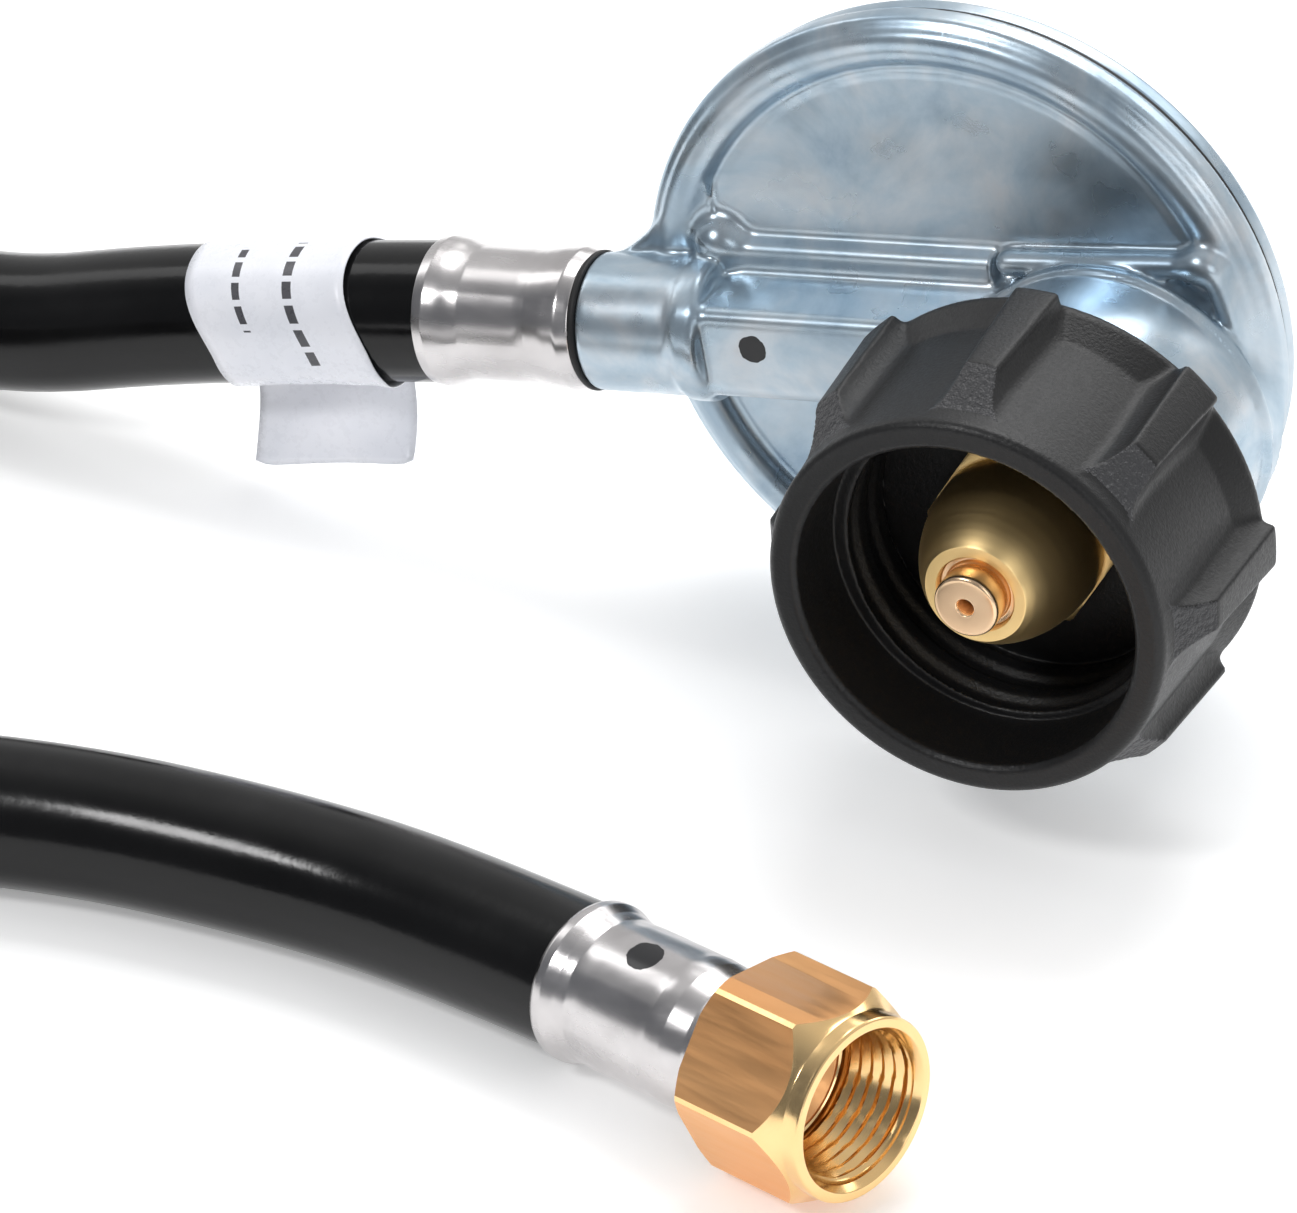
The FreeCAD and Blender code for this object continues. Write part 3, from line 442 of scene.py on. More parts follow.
def zinc_material():
    """Zinc plated die casting: bluish, satin, with cloudy plating, fine pits and a blot of marker."""
    shader = Shader("zinc_casting")
    fine = shader.noise(520, 2, 0.5)
    clouds = shader.ramp(shader.noise(70, 6, 0.62, distortion=0.6), [
        (0.30, (0.29, 0.39, 0.49)), (0.46, (0.43, 0.53, 0.61)), (0.60, (0.55, 0.61, 0.66)),
        (0.74, (0.61, 0.62, 0.64))])
    pitted = shader.mix(0.7, clouds, shader.ramp(fine, [(0.2, 0.92), (0.5, 1.0)]), "MULTIPLY")
    shader.blot(pitted, disc - 19.0 * CAST_X + 1.2 * CAST_Z + 9.5 * FORWARD, 1.55, (0.01, 0.01, 0.012), 0.82)
    shader.rough(shader.span(shader.noise(160, 3, 0.5), 0.24, 0.40))
    shader.bump(fine, 0.10, 0.00005)
    shader.bump(shader.noise(190, 3, 0.5), 0.30, 0.00010)
    return shader.material


def plastic_material(name, grain, depth, tone):
    """Black glass filled nylon with a spark eroded texture."""
    shader = Shader(name, Specular_IOR_Level=0.36)
    colour = shader.span(shader.noise(90, 3), (tone * 0.9, tone * 0.92, tone), (tone, tone, tone * 1.05))
    return shader.finished(colour, shader.noise(grain, 2, 0.7), 0.34, 0.50, 0.6, depth)


def plated_material(name, marked_at=None):
    """Bright plated steel, drawn along the ferrule, which may have a blot of black marker."""
    shader = Shader(name, Metallic=1.0)
    streak = shader.noise(260, 4, 0.6, shader.stretched((0.15, 1, 1)))
    colour = shader.span(shader.noise(110, 4), (0.52, 0.50, 0.50), (0.68, 0.66, 0.66))
    material = shader.finished(colour, streak, 0.16, 0.32, 0.25, 0.00005)
    if marked_at is not None:
        shader.blot(colour, marked_at, 1.9, (0.012, 0.012, 0.014), 1.0)
    return material


def brass_material(name, dark, light, rough, along=None):
    """Machined brass with fine tool lines across its axis, or drawn along it, and slight tarnish."""
    shader = Shader(name, Metallic=1.0)
    if along is None:
        lines = shader.noise(500, 3, 0.6, shader.stretched((0.05, 1.6, 0.05)))
        tarnish = shader.noise(60, 5, 0.6)
    else:
        lines = shader.noise(1100, 3, 0.6, shader.drawn_along(along, 12.0))
        tarnish = shader.noise(60, 5, 0.6, shader.drawn_along(along, 4.0))
    colour = shader.ramp(tarnish, [(0.3, dark), (0.68, light)])
    return shader.finished(colour, lines, rough, rough + 0.12, 0.3, 0.00003)


def turned_brass_material():
    """The nut's turned faces, brighter and smoother than its drawn flats."""
    shader = Shader("nut_turned_brass", Metallic=1.0)
    colour = shader.span(shader.noise(80, 4), (0.88, 0.58, 0.26), (0.96, 0.68, 0.34))
    rings = shader.noise(700, 3, 0.6, shader.drawn_along(nut_side, 3.0))
    return shader.finished(colour, rings, 0.14, 0.24, 0.15, 0.00003)


def rubber_material(name, tone, rough_low, rough_high, grain=700):
    """Black rubber: smooth, with a faint skin texture and dull patches."""
    shader = Shader(name, Specular_IOR_Level=0.30)
    patch = shader.noise(60, 4, 0.6)
    shader.colour(shader.span(patch, (tone, tone, tone * 1.08), (tone * 1.7, tone * 1.7, tone * 1.8)))
    shader.rough(shader.span(patch, rough_low, rough_high))
    shader.bump(shader.noise(grain, 3, 0.6), 0.3, 0.00006)
    return shader.material


def printed_bars(shader):
    """Two rows of plain bars in place of the printing: 1 in a bar and 0 on bare paper."""
    place = shader.nodes.new("ShaderNodeUVMap")
    place.uv_map = "print"
    split = shader.add("SeparateXYZ", Vector=place.outputs[0])
    across, along = split.outputs[0], split.outputs[1]

    def within(value, centre, half):
        return shader.math("LESS_THAN", shader.math("ABSOLUTE", shader.math("SUBTRACT", value, centre)), half)

    rows = [shader.math("MULTIPLY", within(across, row, half), within(along, centre, half_length))
            for row, half, centre, half_length in ((6.0, 0.45, 29.0, 5.0), (12.2, 0.55, 30.5, 8.0))]
    bars = shader.math("LESS_THAN", shader.math("MODULO", along, 2.6), 1.9)
    return shader.math("MULTIPLY", shader.math("MAXIMUM", *rows), bars)


def paper_material():
    """Glossy white label stock with faint fibres, soft waves and bars for its printing."""
    shader = Shader("label_paper")
    wave = shader.noise(120, 2, 0.5)
    paper = shader.span(wave, (0.80, 0.82, 0.88), (0.88, 0.89, 0.94))
    colour = shader.mix(printed_bars(shader), paper, (0.08, 0.08, 0.09))
    material = shader.finished(colour, shader.noise(900, 5, 0.7), 0.22, 0.36, 0.04, 0.00002)
    shader.bump(wave, 0.35, 0.00025)
    return material


def steel_material(name, tone, rough):
    """Plain steel with brushed scratches."""
    shader = Shader(name, Metallic=1.0)
    colour = shader.span(shader.noise(150, 4), tone * 0.85, (tone, tone, tone * 1.02))
    scratch = shader.noise(600, 3, 0.6, shader.stretched((1, 0.2, 1)))
    return shader.finished(colour, scratch, rough, rough + 0.15, 0.25, 0.00004)


def acetal_material():
    """Off white acetal with a slight mottle."""
    shader = Shader("acetal")
    mottle = shader.noise(200, 4)
    colour = shader.span(mottle, (0.76, 0.75, 0.70), (0.84, 0.83, 0.79))
    return shader.finished(colour, mottle, 0.35, 0.5, 0.2, 0.00005)


def weave_material():
    """Woven hook and loop tape."""
    shader = Shader("tie_weave")
    warp, weft = [shader.add("TexWave", Vector=place, Scale=900.0, Distortion=0.4).outputs["Fac"]
                  for place in (shader.place, shader.stretched((1, 1, 1), (0, 0, math.pi / 2)))]
    cloth = shader.math("MULTIPLY", warp, weft)
    shader.colour(shader.ramp(cloth, [(0.2, (0.010, 0.010, 0.011)), (0.8, (0.035, 0.035, 0.038))]))
    shader.rough(shader.ramp(cloth, [(0.2, 0.8), (0.8, 0.95)]))
    shader.bump(cloth, 0.7, 0.0002)
    return shader.material


def floor_material():
    """A pale, matt sweep that glows a little, as a lit studio floor does."""
    shader = Shader("pale_floor", Emission_Strength=0.28)
    speck = shader.noise(40, 3)
    shader.colour(shader.span(speck, 0.93, 0.95))
    shader.rough(shader.span(speck, 0.75, 0.85))
    shader.feed(shader.bsdf.inputs["Emission Color"], shader.span(speck, 0.98, 1.0))
    return shader.material


ZINC = zinc_material()
BLACK_PLASTIC = plastic_material("black_plastic", 2600, 0.00009, 0.009)
PAD_PLASTIC = plastic_material("black_plastic_grained", 1300, 0.0010, 0.045)
PLATED = plated_material("plated_steel")
MARKED_PLATED = plated_material("plated_steel_marked", nut_frame.out([-1.5, 7.6, -11.7]) / MM)
NUT_BRASS = brass_material("nut_brass", (0.78, 0.38, 0.15), (0.92, 0.52, 0.24), 0.34, nut_ahead)
TURNED_BRASS = turned_brass_material()
NIPPLE_BRASS = brass_material("nipple_brass", (0.85, 0.59, 0.25), (0.96, 0.71, 0.34), 0.34)
TIP_BRASS = brass_material("tip_brass", (0.84, 0.55, 0.32), (0.94, 0.68, 0.44), 0.24)
HOSE_RUBBER = rubber_material("hose_rubber", 0.0030, 0.13, 0.24)
SEAL_RUBBER = rubber_material("seal_rubber", 0.010, 0.45, 0.6, 1500)
PAPER = paper_material()
STEEL = steel_material("plain_steel", 0.62, 0.25)
SPRING_STEEL = steel_material("spring_wire", 0.45, 0.3)
ACETAL = acetal_material()
WEAVE = weave_material()


# ---- hose
HOSE_RADIUS = 7.5
COIL_CENTRE = (-195.0, -80.0)
INNER_TURN, OUTER_TURN = 60.0, 75.0
FLOOR_TURN_HEIGHT = 8.1
FERRULE_END = 57.8
FLARE_FERRULE_LENGTH = 21.4
# part.py's routes in its floor frame: from the regulator to the coil, and from the coil to the flare end
REGULATOR_LEAD = [(-83.3, -4.2, 18.3), (-112, -6.6, 9.4), (-141, -1.8, 10.2), (-169, 7.5, 18.2),
                  (-199, 5.5, 23.6)]
FLARE_LEAD = [(-117.5, -104.6, 7.55), (-90, -89.5, 7.55), (-62, -81.2, 7.55), (-38.5, -79.6, 7.55),
              (-19.5, -80.8, 7.65)]
# angles round the coil, counted from the crossing near the regulator's lead
COIL_ENTRY, TOP_SETTLED, DESCENT, DESCENT_END, EXIT_TURN = 92.7, 200.0, 320.0, 410.0, 1040.0
OUTWARD, OUTWARD_END = 680.0, 770.0
COIL_STEP = 20.0


def smooth_step(t):
    t = min(1.0, max(0.0, t))
    return t * t * (3 - 2 * t)


def coil_point(angle):
    """The hose's centre at an angle of its winding, which starts on top and ends on the outside."""
    diameter = 2 * HOSE_RADIUS
    middle = (INNER_TURN + OUTER_TURN) / 2
    if angle < DESCENT:
        radius = 85.6 - (85.6 - middle) * smooth_step((angle - COIL_ENTRY) / (TOP_SETTLED - COIL_ENTRY))
        gaps = [max(0.0, diameter ** 2 - (radius - turn) ** 2) for turn in (INNER_TURN, OUTER_TURN)]
        height = FLOOR_TURN_HEIGHT + math.sqrt(max(gaps))
        if radius > OUTER_TURN:
            height = FLOOR_TURN_HEIGHT + diameter + 0.05 * (radius - OUTER_TURN)
    elif angle < DESCENT_END:
        part = (angle - DESCENT) / (DESCENT_END - DESCENT)
        lean = math.radians(-30 + 120 * part)
        radius = INNER_TURN + (OUTER_TURN - INNER_TURN) * part - diameter * math.sin(lean)
        height = FLOOR_TURN_HEIGHT + diameter * math.cos(lean)
    else:
        part = (angle - OUTWARD) / (OUTWARD_END - OUTWARD)
        radius = INNER_TURN + (OUTER_TURN - INNER_TURN) * min(1.0, max(0.0, part))
        height = FLOOR_TURN_HEIGHT
    radius /= math.cos(math.radians(COIL_STEP) / 2) ** 0.5
    turn = math.radians(angle)
    return (COIL_CENTRE[0] + radius * math.cos(turn), COIL_CENTRE[1] + radius * math.sin(turn), height)


def hose_points():
    """The hose's control points: its start, the lead to the coil, the turns, the lead out and its end."""
    angles = np.arange(COIL_ENTRY + COIL_STEP, EXIT_TURN + 1, COIL_STEP)
    angles = COIL_ENTRY + (angles - COIL_ENTRY) * (EXIT_TURN - COIL_ENTRY) / (angles[-1] - COIL_ENTRY)
    turns = [coil_point(angle) for angle in angles]
    return np.concatenate([outlet_frame.out([[0, 0, FERRULE_END - 2.5]]),
                           floor_frame.out([*REGULATOR_LEAD, *turns, *FLARE_LEAD]),
                           nut_frame.out([[0, 0, -FLARE_FERRULE_LENGTH + 2.0]])])


def make_curve(name, points, depth, resolution=10):
    """A round NURBS cord through a list of control points."""
    curve = bpy.data.curves.new(name, "CURVE")
    curve.dimensions = "3D"
    spline = curve.splines.new("NURBS")
    spline.points.add(len(points) - 1)
    for spot, point in zip(spline.points, points):
        spot.co = (*point, 1)
    spline.order_u = 3
    spline.use_endpoint_u = True
    spline.resolution_u = resolution
    curve.bevel_depth = depth
    curve.bevel_resolution = 14
    curve.use_fill_caps = True
    return linked(name, curve)


def spline_line(points):
    """The smooth line of a NURBS spline, as points in metres."""
    guide = make_curve("guide", points, 0.0, 24)
    guide.data.use_fill_caps = False
    bpy.context.view_layer.update()
    mesh = bpy.data.meshes.new_from_object(guide)
    line = np.array([vertex.co[:] for vertex in mesh.vertices])
    bpy.data.meshes.remove(mesh)
    bpy.data.objects.remove(guide)
    return line


HOSE_POINTS = hose_points()
HOSE_LINE = spline_line(HOSE_POINTS)

hose = make_curve("hose", HOSE_POINTS, HOSE_RADIUS * MM)
hose.data.materials.append(HOSE_RUBBER)
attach(hose, "regulator")
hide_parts("hose_lead_regulator", "hose_coil", "hose_lead_flare")


# ---- regulator casting
NECK_END = 39.0
NECK_CLEAR = 35.5
CHANNEL_FRONT = 9.5
BOSS_FACE = 19.0
INLET_IN_CASTING = ((inlet_frame.origin - disc) @ casting_frame.axes.T)[:2]
LEVER_ANGLE = math.atan2(INLET_IN_CASTING[1], INLET_IN_CASTING[0])
INLET_OFFSET = float(np.hypot(*INLET_IN_CASTING))


def casting_field(p):
    """Signed distance of the casting: x across, y up, z forward from the flange's front face."""
    x, y, z = p[:, 0], p[:, 1], p[:, 2]
    radial = np.hypot(x, y)
    inlet_radial = np.hypot(x - INLET_IN_CASTING[0], y - INLET_IN_CASTING[1])
    neck_radial = np.hypot(y, z - OUTLET_STATION)
    d = drum(radial, z, RIM_RADIUS, -RIM_DEPTH, 0.0, 0.9)
    ridge = np.hypot((radial - 32.0) / 2.0, (z + 0.1) / 1.35) - 1
    d = blend_min(d, ridge * 1.3, 0.5)
    groove = np.hypot(radial - 29.3, z - 0.35) - 0.55
    d = blend_max(d, -groove, 0.4)
    half_width = 5.0 + (CHANNEL_FRONT - z) * 0.10
    channel = blend_max(np.abs(y) - half_width, z - CHANNEL_FRONT, 1.6)
    channel = most(channel, -27.0 - x, x - 20, -1 - z)
    shelf = np.hypot(np.maximum(np.abs(y - 6.2) - 1.6, 0), np.maximum(z - 0.6, 0)) - 1.3
    shelf = most(shelf, -24 - x, x - 5.5, -1 - z)
    bar = rod(p, (7.5, 8.6, 1.4), (27.0, 9.4, 1.4), 1.35)
    angle = np.clip(np.arctan2(y, x), math.radians(-24), math.radians(17))
    hook = np.sqrt((x - 31.3 * np.cos(angle)) ** 2 + (y - 31.3 * np.sin(angle)) ** 2 + (z - 1.5) ** 2) - 1.35
    rise = np.clip((z - 4.0) / 23.0, 0, 1)
    dome_radius = 16.6 * np.sqrt(np.maximum(0.0, 1 - rise ** 2))
    dome = most((inlet_radial - dome_radius) * 0.88, z - BOSS_FACE, -1 - z)
    dome = blend_min(dome, np.hypot(inlet_radial - 16.5, z - 3.6) - 0.75, 0.35)
    neck = drum(neck_radial, -x, 7.2, 25.5, NECK_END, 0.5)
    collar = drum(neck_radial, -x, 7.55, 25.0, 28.2, 0.9)
    along = (x + NECK_END) * 0.60 - (y - 5.0) * 0.80
    gusset = most(-1.0 - y, -NECK_END - x + 0.4, x + 26, -along, np.abs(z + 1.2) - 1.5)
    for part, fillet in ((channel, 1.1), (shelf, 1.2), (bar, 0.9), (hook, 0.8),
                         (ball(p, (28.6, 9.6, 1.3), 2.0), 1.2), (ball(p, (-25.6, 8.4, 0.0), 2.9), 1.6),
                         (dome, 0.7), (neck, 1.3), (collar, 0.8), (gusset, 0.9)):
        d = blend_min(d, part, fillet)
    d = np.maximum(d, np.minimum(x + NECK_CLEAR, -RIM_DEPTH - z))
    return np.maximum(d, -casting_hollow(p, radial, inlet_radial, neck_radial))


def casting_hollow(p, radial, inlet_radial, neck_radial):
    """The casting's pocket for the lever, its bores and the space behind its floor."""
    x, y, z = p[:, 0], p[:, 1], p[:, 2]
    c, s = math.cos(LEVER_ANGLE), math.sin(LEVER_ANGLE)
    u, v = x * c + y * s, -x * s + y * c
    chamber = drum(radial, z, 28.5, -RIM_DEPTH - 1, -1.8)
    pocket = most(np.hypot(u - np.clip(u, 0, INLET_OFFSET), v) - 3.8, z - 6.0, -4 - z)
    jet = drum(inlet_radial, z, 2.5, 5.0, 11.0)
    thread = drum(inlet_radial, z, 6.6, 10.0, BOSS_FACE + 2)
    passage = drum(neck_radial, -x, 3.0, 0.0, NECK_END)
    spigot = drum(neck_radial, -x, 4.3, NECK_END - 8, NECK_END + 2)
    pin = most(np.hypot(u - 11.2, z - 2.8) - 0.8, np.abs(v) - 6.5)
    return least(chamber, pocket, jet, thread, pin, passage, spigot)


def make_casting():
    step = 0.42
    vertices, quads = surface_net(casting_field, (-41, -36.5, -4.2), (36.5, 36.5, 20.6), step)
    casting = mesh_object("regulator_casting", casting_frame.out(vertices), quads[:, ::-1], "regulator", ZINC,
                          None)
    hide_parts("regulator_body")


make_casting()


# ---- back cover and its cap
def make_back_cover():
    """Stamped cover with its spring tower, and the vent's boss on it."""
    outline = rounded([(34.3, -3.8), (34.3, -6.0, 0.8), (31.2, -6.8, 1.5), (29.2, -8.8, 2.0),
                       (17.0, -10.4, 3.0), (14.0, -12.6, 1.5), (14.0, -24.0, 0.6), (11.0, -24.0, 0.3),
                       (11.0, -10.6), (16.0, -8.8), (27.4, -7.0), (28.5, -5.4), (28.5, -3.8, 0)], 0.4, 5)
    cover = lathe("back_cover_shell", casting_frame, outline, "regulator", ZINC, 192)
    angle = math.radians(-70)
    middle = casting_frame.out([23 * math.cos(angle), 23 * math.sin(angle), 0]) / MM
    outline = rounded([(4.5, -8.4), (4.5, -13.0, 0.5), (2.85, -13.0, 0.3), (2.85, -8.4)], 0.2)
    vent = lathe("vent_boss", Frame(middle, *casting_frame.axes), outline, "regulator", ZINC, 64)
    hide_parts("back_cover")


make_back_cover()


# ---- handwheel
LOBES = 8
LOBE_PITCH = TAU / LOBES
LOBE_PHASE = math.radians(4.0)
LOBE_RADIUS, LOBE_FRONT_RADIUS = 24.5, 23.85
WHEEL_BACK, WHEEL_MOUTH = 20.5, 42.7
PAD_START = 35.3
PAD_FALL = math.atan2(3.15, 5.1)
THREAD_PITCH = 4.23
BORE_FRONT = 33.5


def lobe_fold(radial, angle):
    """A point's place beside its nearest lobe: outwards, and away from the lobe's middle."""
    folded = np.abs((angle + LOBE_PITCH / 2) % LOBE_PITCH - LOBE_PITCH / 2)
    return radial * np.cos(folded), radial * np.sin(folded)


def pad_slope(out, z):
    """Distance in front of the plane that the grained end of each lobe lies in."""
    return (out - LOBE_FRONT_RADIUS) * math.cos(PAD_FALL) + (z - PAD_START) * math.sin(PAD_FALL)


def wheel_field(p):
    """Signed distance of the handwheel: its axis is z, with a lobe centred on x."""
    x, y, z = p[:, 0], p[:, 1], p[:, 2]
    radial = np.hypot(x, y)
    angle = np.arctan2(y, x)
    out, beside = lobe_fold(radial, angle)
    core = np.interp(z, (20.5, 21.3, 24.6, 40.5, 42.7), (22.9, 22.9, 21.45, 20.95, 20.88))
    body = drum(radial, z, core, WHEEL_BACK, WHEEL_MOUTH, np.where(z > 31, 1.0, 0.35))
    top = np.interp(z, (22.0, PAD_START), (LOBE_RADIUS, LOBE_FRONT_RADIUS))
    drop = np.clip(top - out, 0, 4.5) / 3.2
    half = np.interp(z, (22.0, PAD_START), (2.3, 1.75)) + 1.5 * drop ** 2
    flank = (beside - half) * 0.85
    lobe = blend_max(blend_max(radial - top, flank, 0.35), pad_slope(out, z), 0.12)
    lobe = blend_max(np.maximum(lobe, z - 41.0), WHEEL_BACK + 0.6 - z, 0.6)
    d = blend_min(body, lobe, 0.55)
    bore = drum(radial, z, 17.85, BORE_FRONT, WHEEL_MOUTH + 2)
    wave = np.abs(((z / THREAD_PITCH - angle / TAU) % 1.0) - 0.5) * 2
    thread_radius = 16.3 + 0.7 * np.clip((wave - 0.35) * 2.4, 0, 1)
    threaded = most(radial - thread_radius, 24.0 - z, z - BORE_FRONT - 1) * 0.8
    hole = drum(radial, z, 8.3, WHEEL_BACK - 1, 25.0)
    chamfer = most((radial - 18.05 - (z - WHEEL_MOUTH + 0.3)) * 0.7, WHEEL_MOUTH - 0.4 - z)
    return blend_max(d, -least(bore, threaded, hole, chamfer), 0.1)


def make_handwheel():
    step = 0.3
    reach = LOBE_RADIUS + 1
    vertices, quads = surface_net(wheel_field, (-reach, -reach, WHEEL_BACK - 1),
                                  (reach, reach, WHEEL_MOUTH + 1), step)
    c, s = math.cos(LOBE_PHASE), math.sin(LOBE_PHASE)
    turned = vertices @ np.array([[c, s, 0], [-s, c, 0], [0, 0, 1]])
    wheel = mesh_object("handwheel_moulding", inlet_frame.out(turned), quads[:, ::-1], "handwheel",
                        BLACK_PLASTIC, None)
    wheel.data.materials.append(PAD_PLASTIC)
    centres = vertices[quads].mean(axis=1)
    out, _ = lobe_fold(np.hypot(centres[:, 0], centres[:, 1]), np.arctan2(centres[:, 1], centres[:, 0]))
    slope = pad_slope(out, centres[:, 2])
    grained = (np.abs(slope) < 0.12) & (np.abs(centres[:, 2] - PAD_START - 2.6) < 2.5)
    wheel.data.polygons.foreach_set("material_index", grained.astype(np.int32))
    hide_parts("handwheel")


make_handwheel()


# ---- inlet nipple
HEX_BACK, HEX_FRONT = 25.0, 28.0
NIPPLE_FLATS = 18.0
NOSE_FACE = 39.6


def bulb_radius(station):
    """The nipple's rounded nose, a long ellipse."""
    return 8.9 * math.sqrt(1 - ((station - 29.0) / 13.2) ** 2)


def make_nipple():
    corner = HEXAGON_CORNER * NIPPLE_FLATS
    cut = hexagon_rows(NIPPLE_FLATS, math.radians(2), (HEX_BACK + 0.5, HEX_BACK, corner - 1),
                       (HEX_FRONT - 0.6, HEX_FRONT, corner - 1.09))

    def hex_shape(angles, radii, stations):
        return cut(angles, radii, stations) if radii[0] > 8.95 else (radii, stations)

    outer = [(2.6, 10), (6.55, 10), (6.55, 19), (7.2, 19), (7.2, HEX_BACK), (corner - 1, HEX_BACK, 0),
             (corner, HEX_BACK + 0.5, 0), (corner, HEX_FRONT - 0.6, 0), (corner - 1.09, HEX_FRONT, 0)]
    bulb = [(bulb_radius(station), station, 0) for station in (28.0, *np.arange(29.0, 39.3, 0.35))]
    nose = [(5.52, 39.35, 0.12), (5.32, NOSE_FACE, 0.12), (4.18, NOSE_FACE, 0), (4.04, NOSE_FACE - 0.14, 0),
            (4.04, 38.0, 0), (4.04, 36.6, 0), (3.5, 36.6), (3.5, 26), (1.8, 25), (1.8, 23), (2.6, 22)]
    outline = rounded(outer + bulb + nose, 0.25, 3)
    nipple = lathe("nipple_turning", inlet_frame, outline, "regulator", NIPPLE_BRASS, 192, hex_shape, 30)
    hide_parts("inlet_nipple")
    outline = rounded([(0.8, 36.6, 0), (4.02, 36.6, 0), (4.02, 38.75, 0.1), (3.38, 38.6, 0.5),
                       (3.38, 42.2, 0.6), (1.0, 42.2, 0.15), (0.8, 41.9, 0)], 0.2, 5)
    tip = lathe("nipple_probe", inlet_frame, outline, "regulator", TIP_BRASS, 96)
    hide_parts("nipple_tip")


make_nipple()


# ---- ferrules and seal ring
def crimp_facets(sides, low, high, depth):
    """Flats pressed round a ferrule between two stations."""
    def shape(angles, radii, stations):
        if radii[0] < 6.6:
            return radii, stations
        ease = min(1.0, max(0.0, min(stations[0] - low, high - stations[0]) / 1.2))
        folded = (angles % (TAU / sides)) - TAU / sides / 2
        flat = np.cos(math.pi / sides) / np.cos(folded)
        pressed = 1 - np.clip((flat - math.cos(math.pi / sides)) * 8, 0, 1)
        return radii * (1 - ease * depth * pressed), stations
    return shape


def even_outline(outline, spacing=0.5):
    """The same outline with points added, so that no step along it is longer than the spacing."""
    result = []
    for index, here in enumerate(outline):
        following = outline[(index + 1) % len(outline)]
        parts = max(1, int(math.ceil(np.linalg.norm(following - here) / spacing)))
        result += [here + (following - here) * part / parts for part in range(parts)]
    return np.array(result)


def make_ferrules():
    """Both crimped ferrules and the seal ring between the upper one and the casting's neck."""
    end = -FLARE_FERRULE_LENGTH
    upper = rounded([(4.35, 39.7, 0), (7.15, 39.7, 0.4), (7.6, 41.2, 1.2), (7.45, 43.0, 1.2),
                     (7.15, 45.0, 1.5), (7.2, 53.0, 2.5), (7.7, 55.4, 2.5), (7.95, 56.6, 0.8),
                     (7.75, 57.8, 0.3), (7.42, 57.8, 0.1), (7.3, 56.8, 0), (6.35, 56.4, 0), (6.35, 41.6, 0),
                     (4.35, 41.6, 0)], 0.2, 6)
    lower = rounded([(5.1, -0.5, 0), (6.7, -0.5, 0.3), (6.9, -1.4, 0.4), (6.95, -2.6, 1.0), (7.45, -5.0, 1.5),
                     (7.62, -7.0, 1.5), (7.6, -15.4, 1.5), (7.5, -17.5, 1.0), (7.75, -18.8, 1.0),
                     (8.2, -20.0, 0.8), (8.2, -20.9, 0.5), (7.95, end, 0.3), (7.42, end, 0.1),
                     (7.3, end + 1, 0), (6.35, end + 1.4, 0), (6.35, -2.2, 0), (5.1, -2.2, 0)], 0.2, 6)
    seal = rounded([(4.35, 39.0, 0), (7.35, 39.0, 0.3), (7.35, 39.7, 0.3), (4.35, 39.7, 0)], 0.2, 4)
    ferrule = lathe("crimped_ferrule", outlet_frame, even_outline(upper), "regulator", PLATED, 160,
                    crimp_facets(8, 44.9, 55.2, 0.022), 40)
    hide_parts("regulator_ferrule")
    second = lathe("flare_crimped_ferrule", nut_frame, even_outline(lower), "regulator", MARKED_PLATED, 160,
                   crimp_facets(8, -18.2, -6.4, 0.016), 40)
    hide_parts("flare_ferrule")
    ring = lathe("seal_ring", outlet_frame, seal, "regulator", SEAL_RUBBER, 96)
    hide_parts("outlet_seal_ring")
    return second


flare_ferrule = make_ferrules()


# ---- flare nut and stem
NUT_FLATS = 19.05
NUT_ROLL = math.radians(-6.0)
NUT_HEX_LENGTH = 10.9
NUT_MOUTH = 14.7
FINE_PITCH = 25.4 / 18
NUT_CORNER = HEXAGON_CORNER * NUT_FLATS
nut_hexagon = hexagon_rows(NUT_FLATS, NUT_ROLL, (0.75, 0.0, 9.9), (NUT_HEX_LENGTH - 0.5, 12.55, 9.45))


def nut_shape(angles, radii, stations):
    """Hexagonal flats outside and a fine thread inside."""
    station = stations[0]
    if radii[0] > 9.4 and station < 12.6:
        return nut_hexagon(angles, radii, stations)
    if 7.1 < radii[0] < 7.95 and 4.9 < station < 13.9:
        phase = (station / FINE_PITCH - angles / TAU) % 1.0
        ease = min(1.0, 13.9 - station, (station - 4.9) / 0.6)
        return 7.72 - ease * 0.50 * (1 - np.abs(phase - 0.5) * 2), stations
    return radii, stations


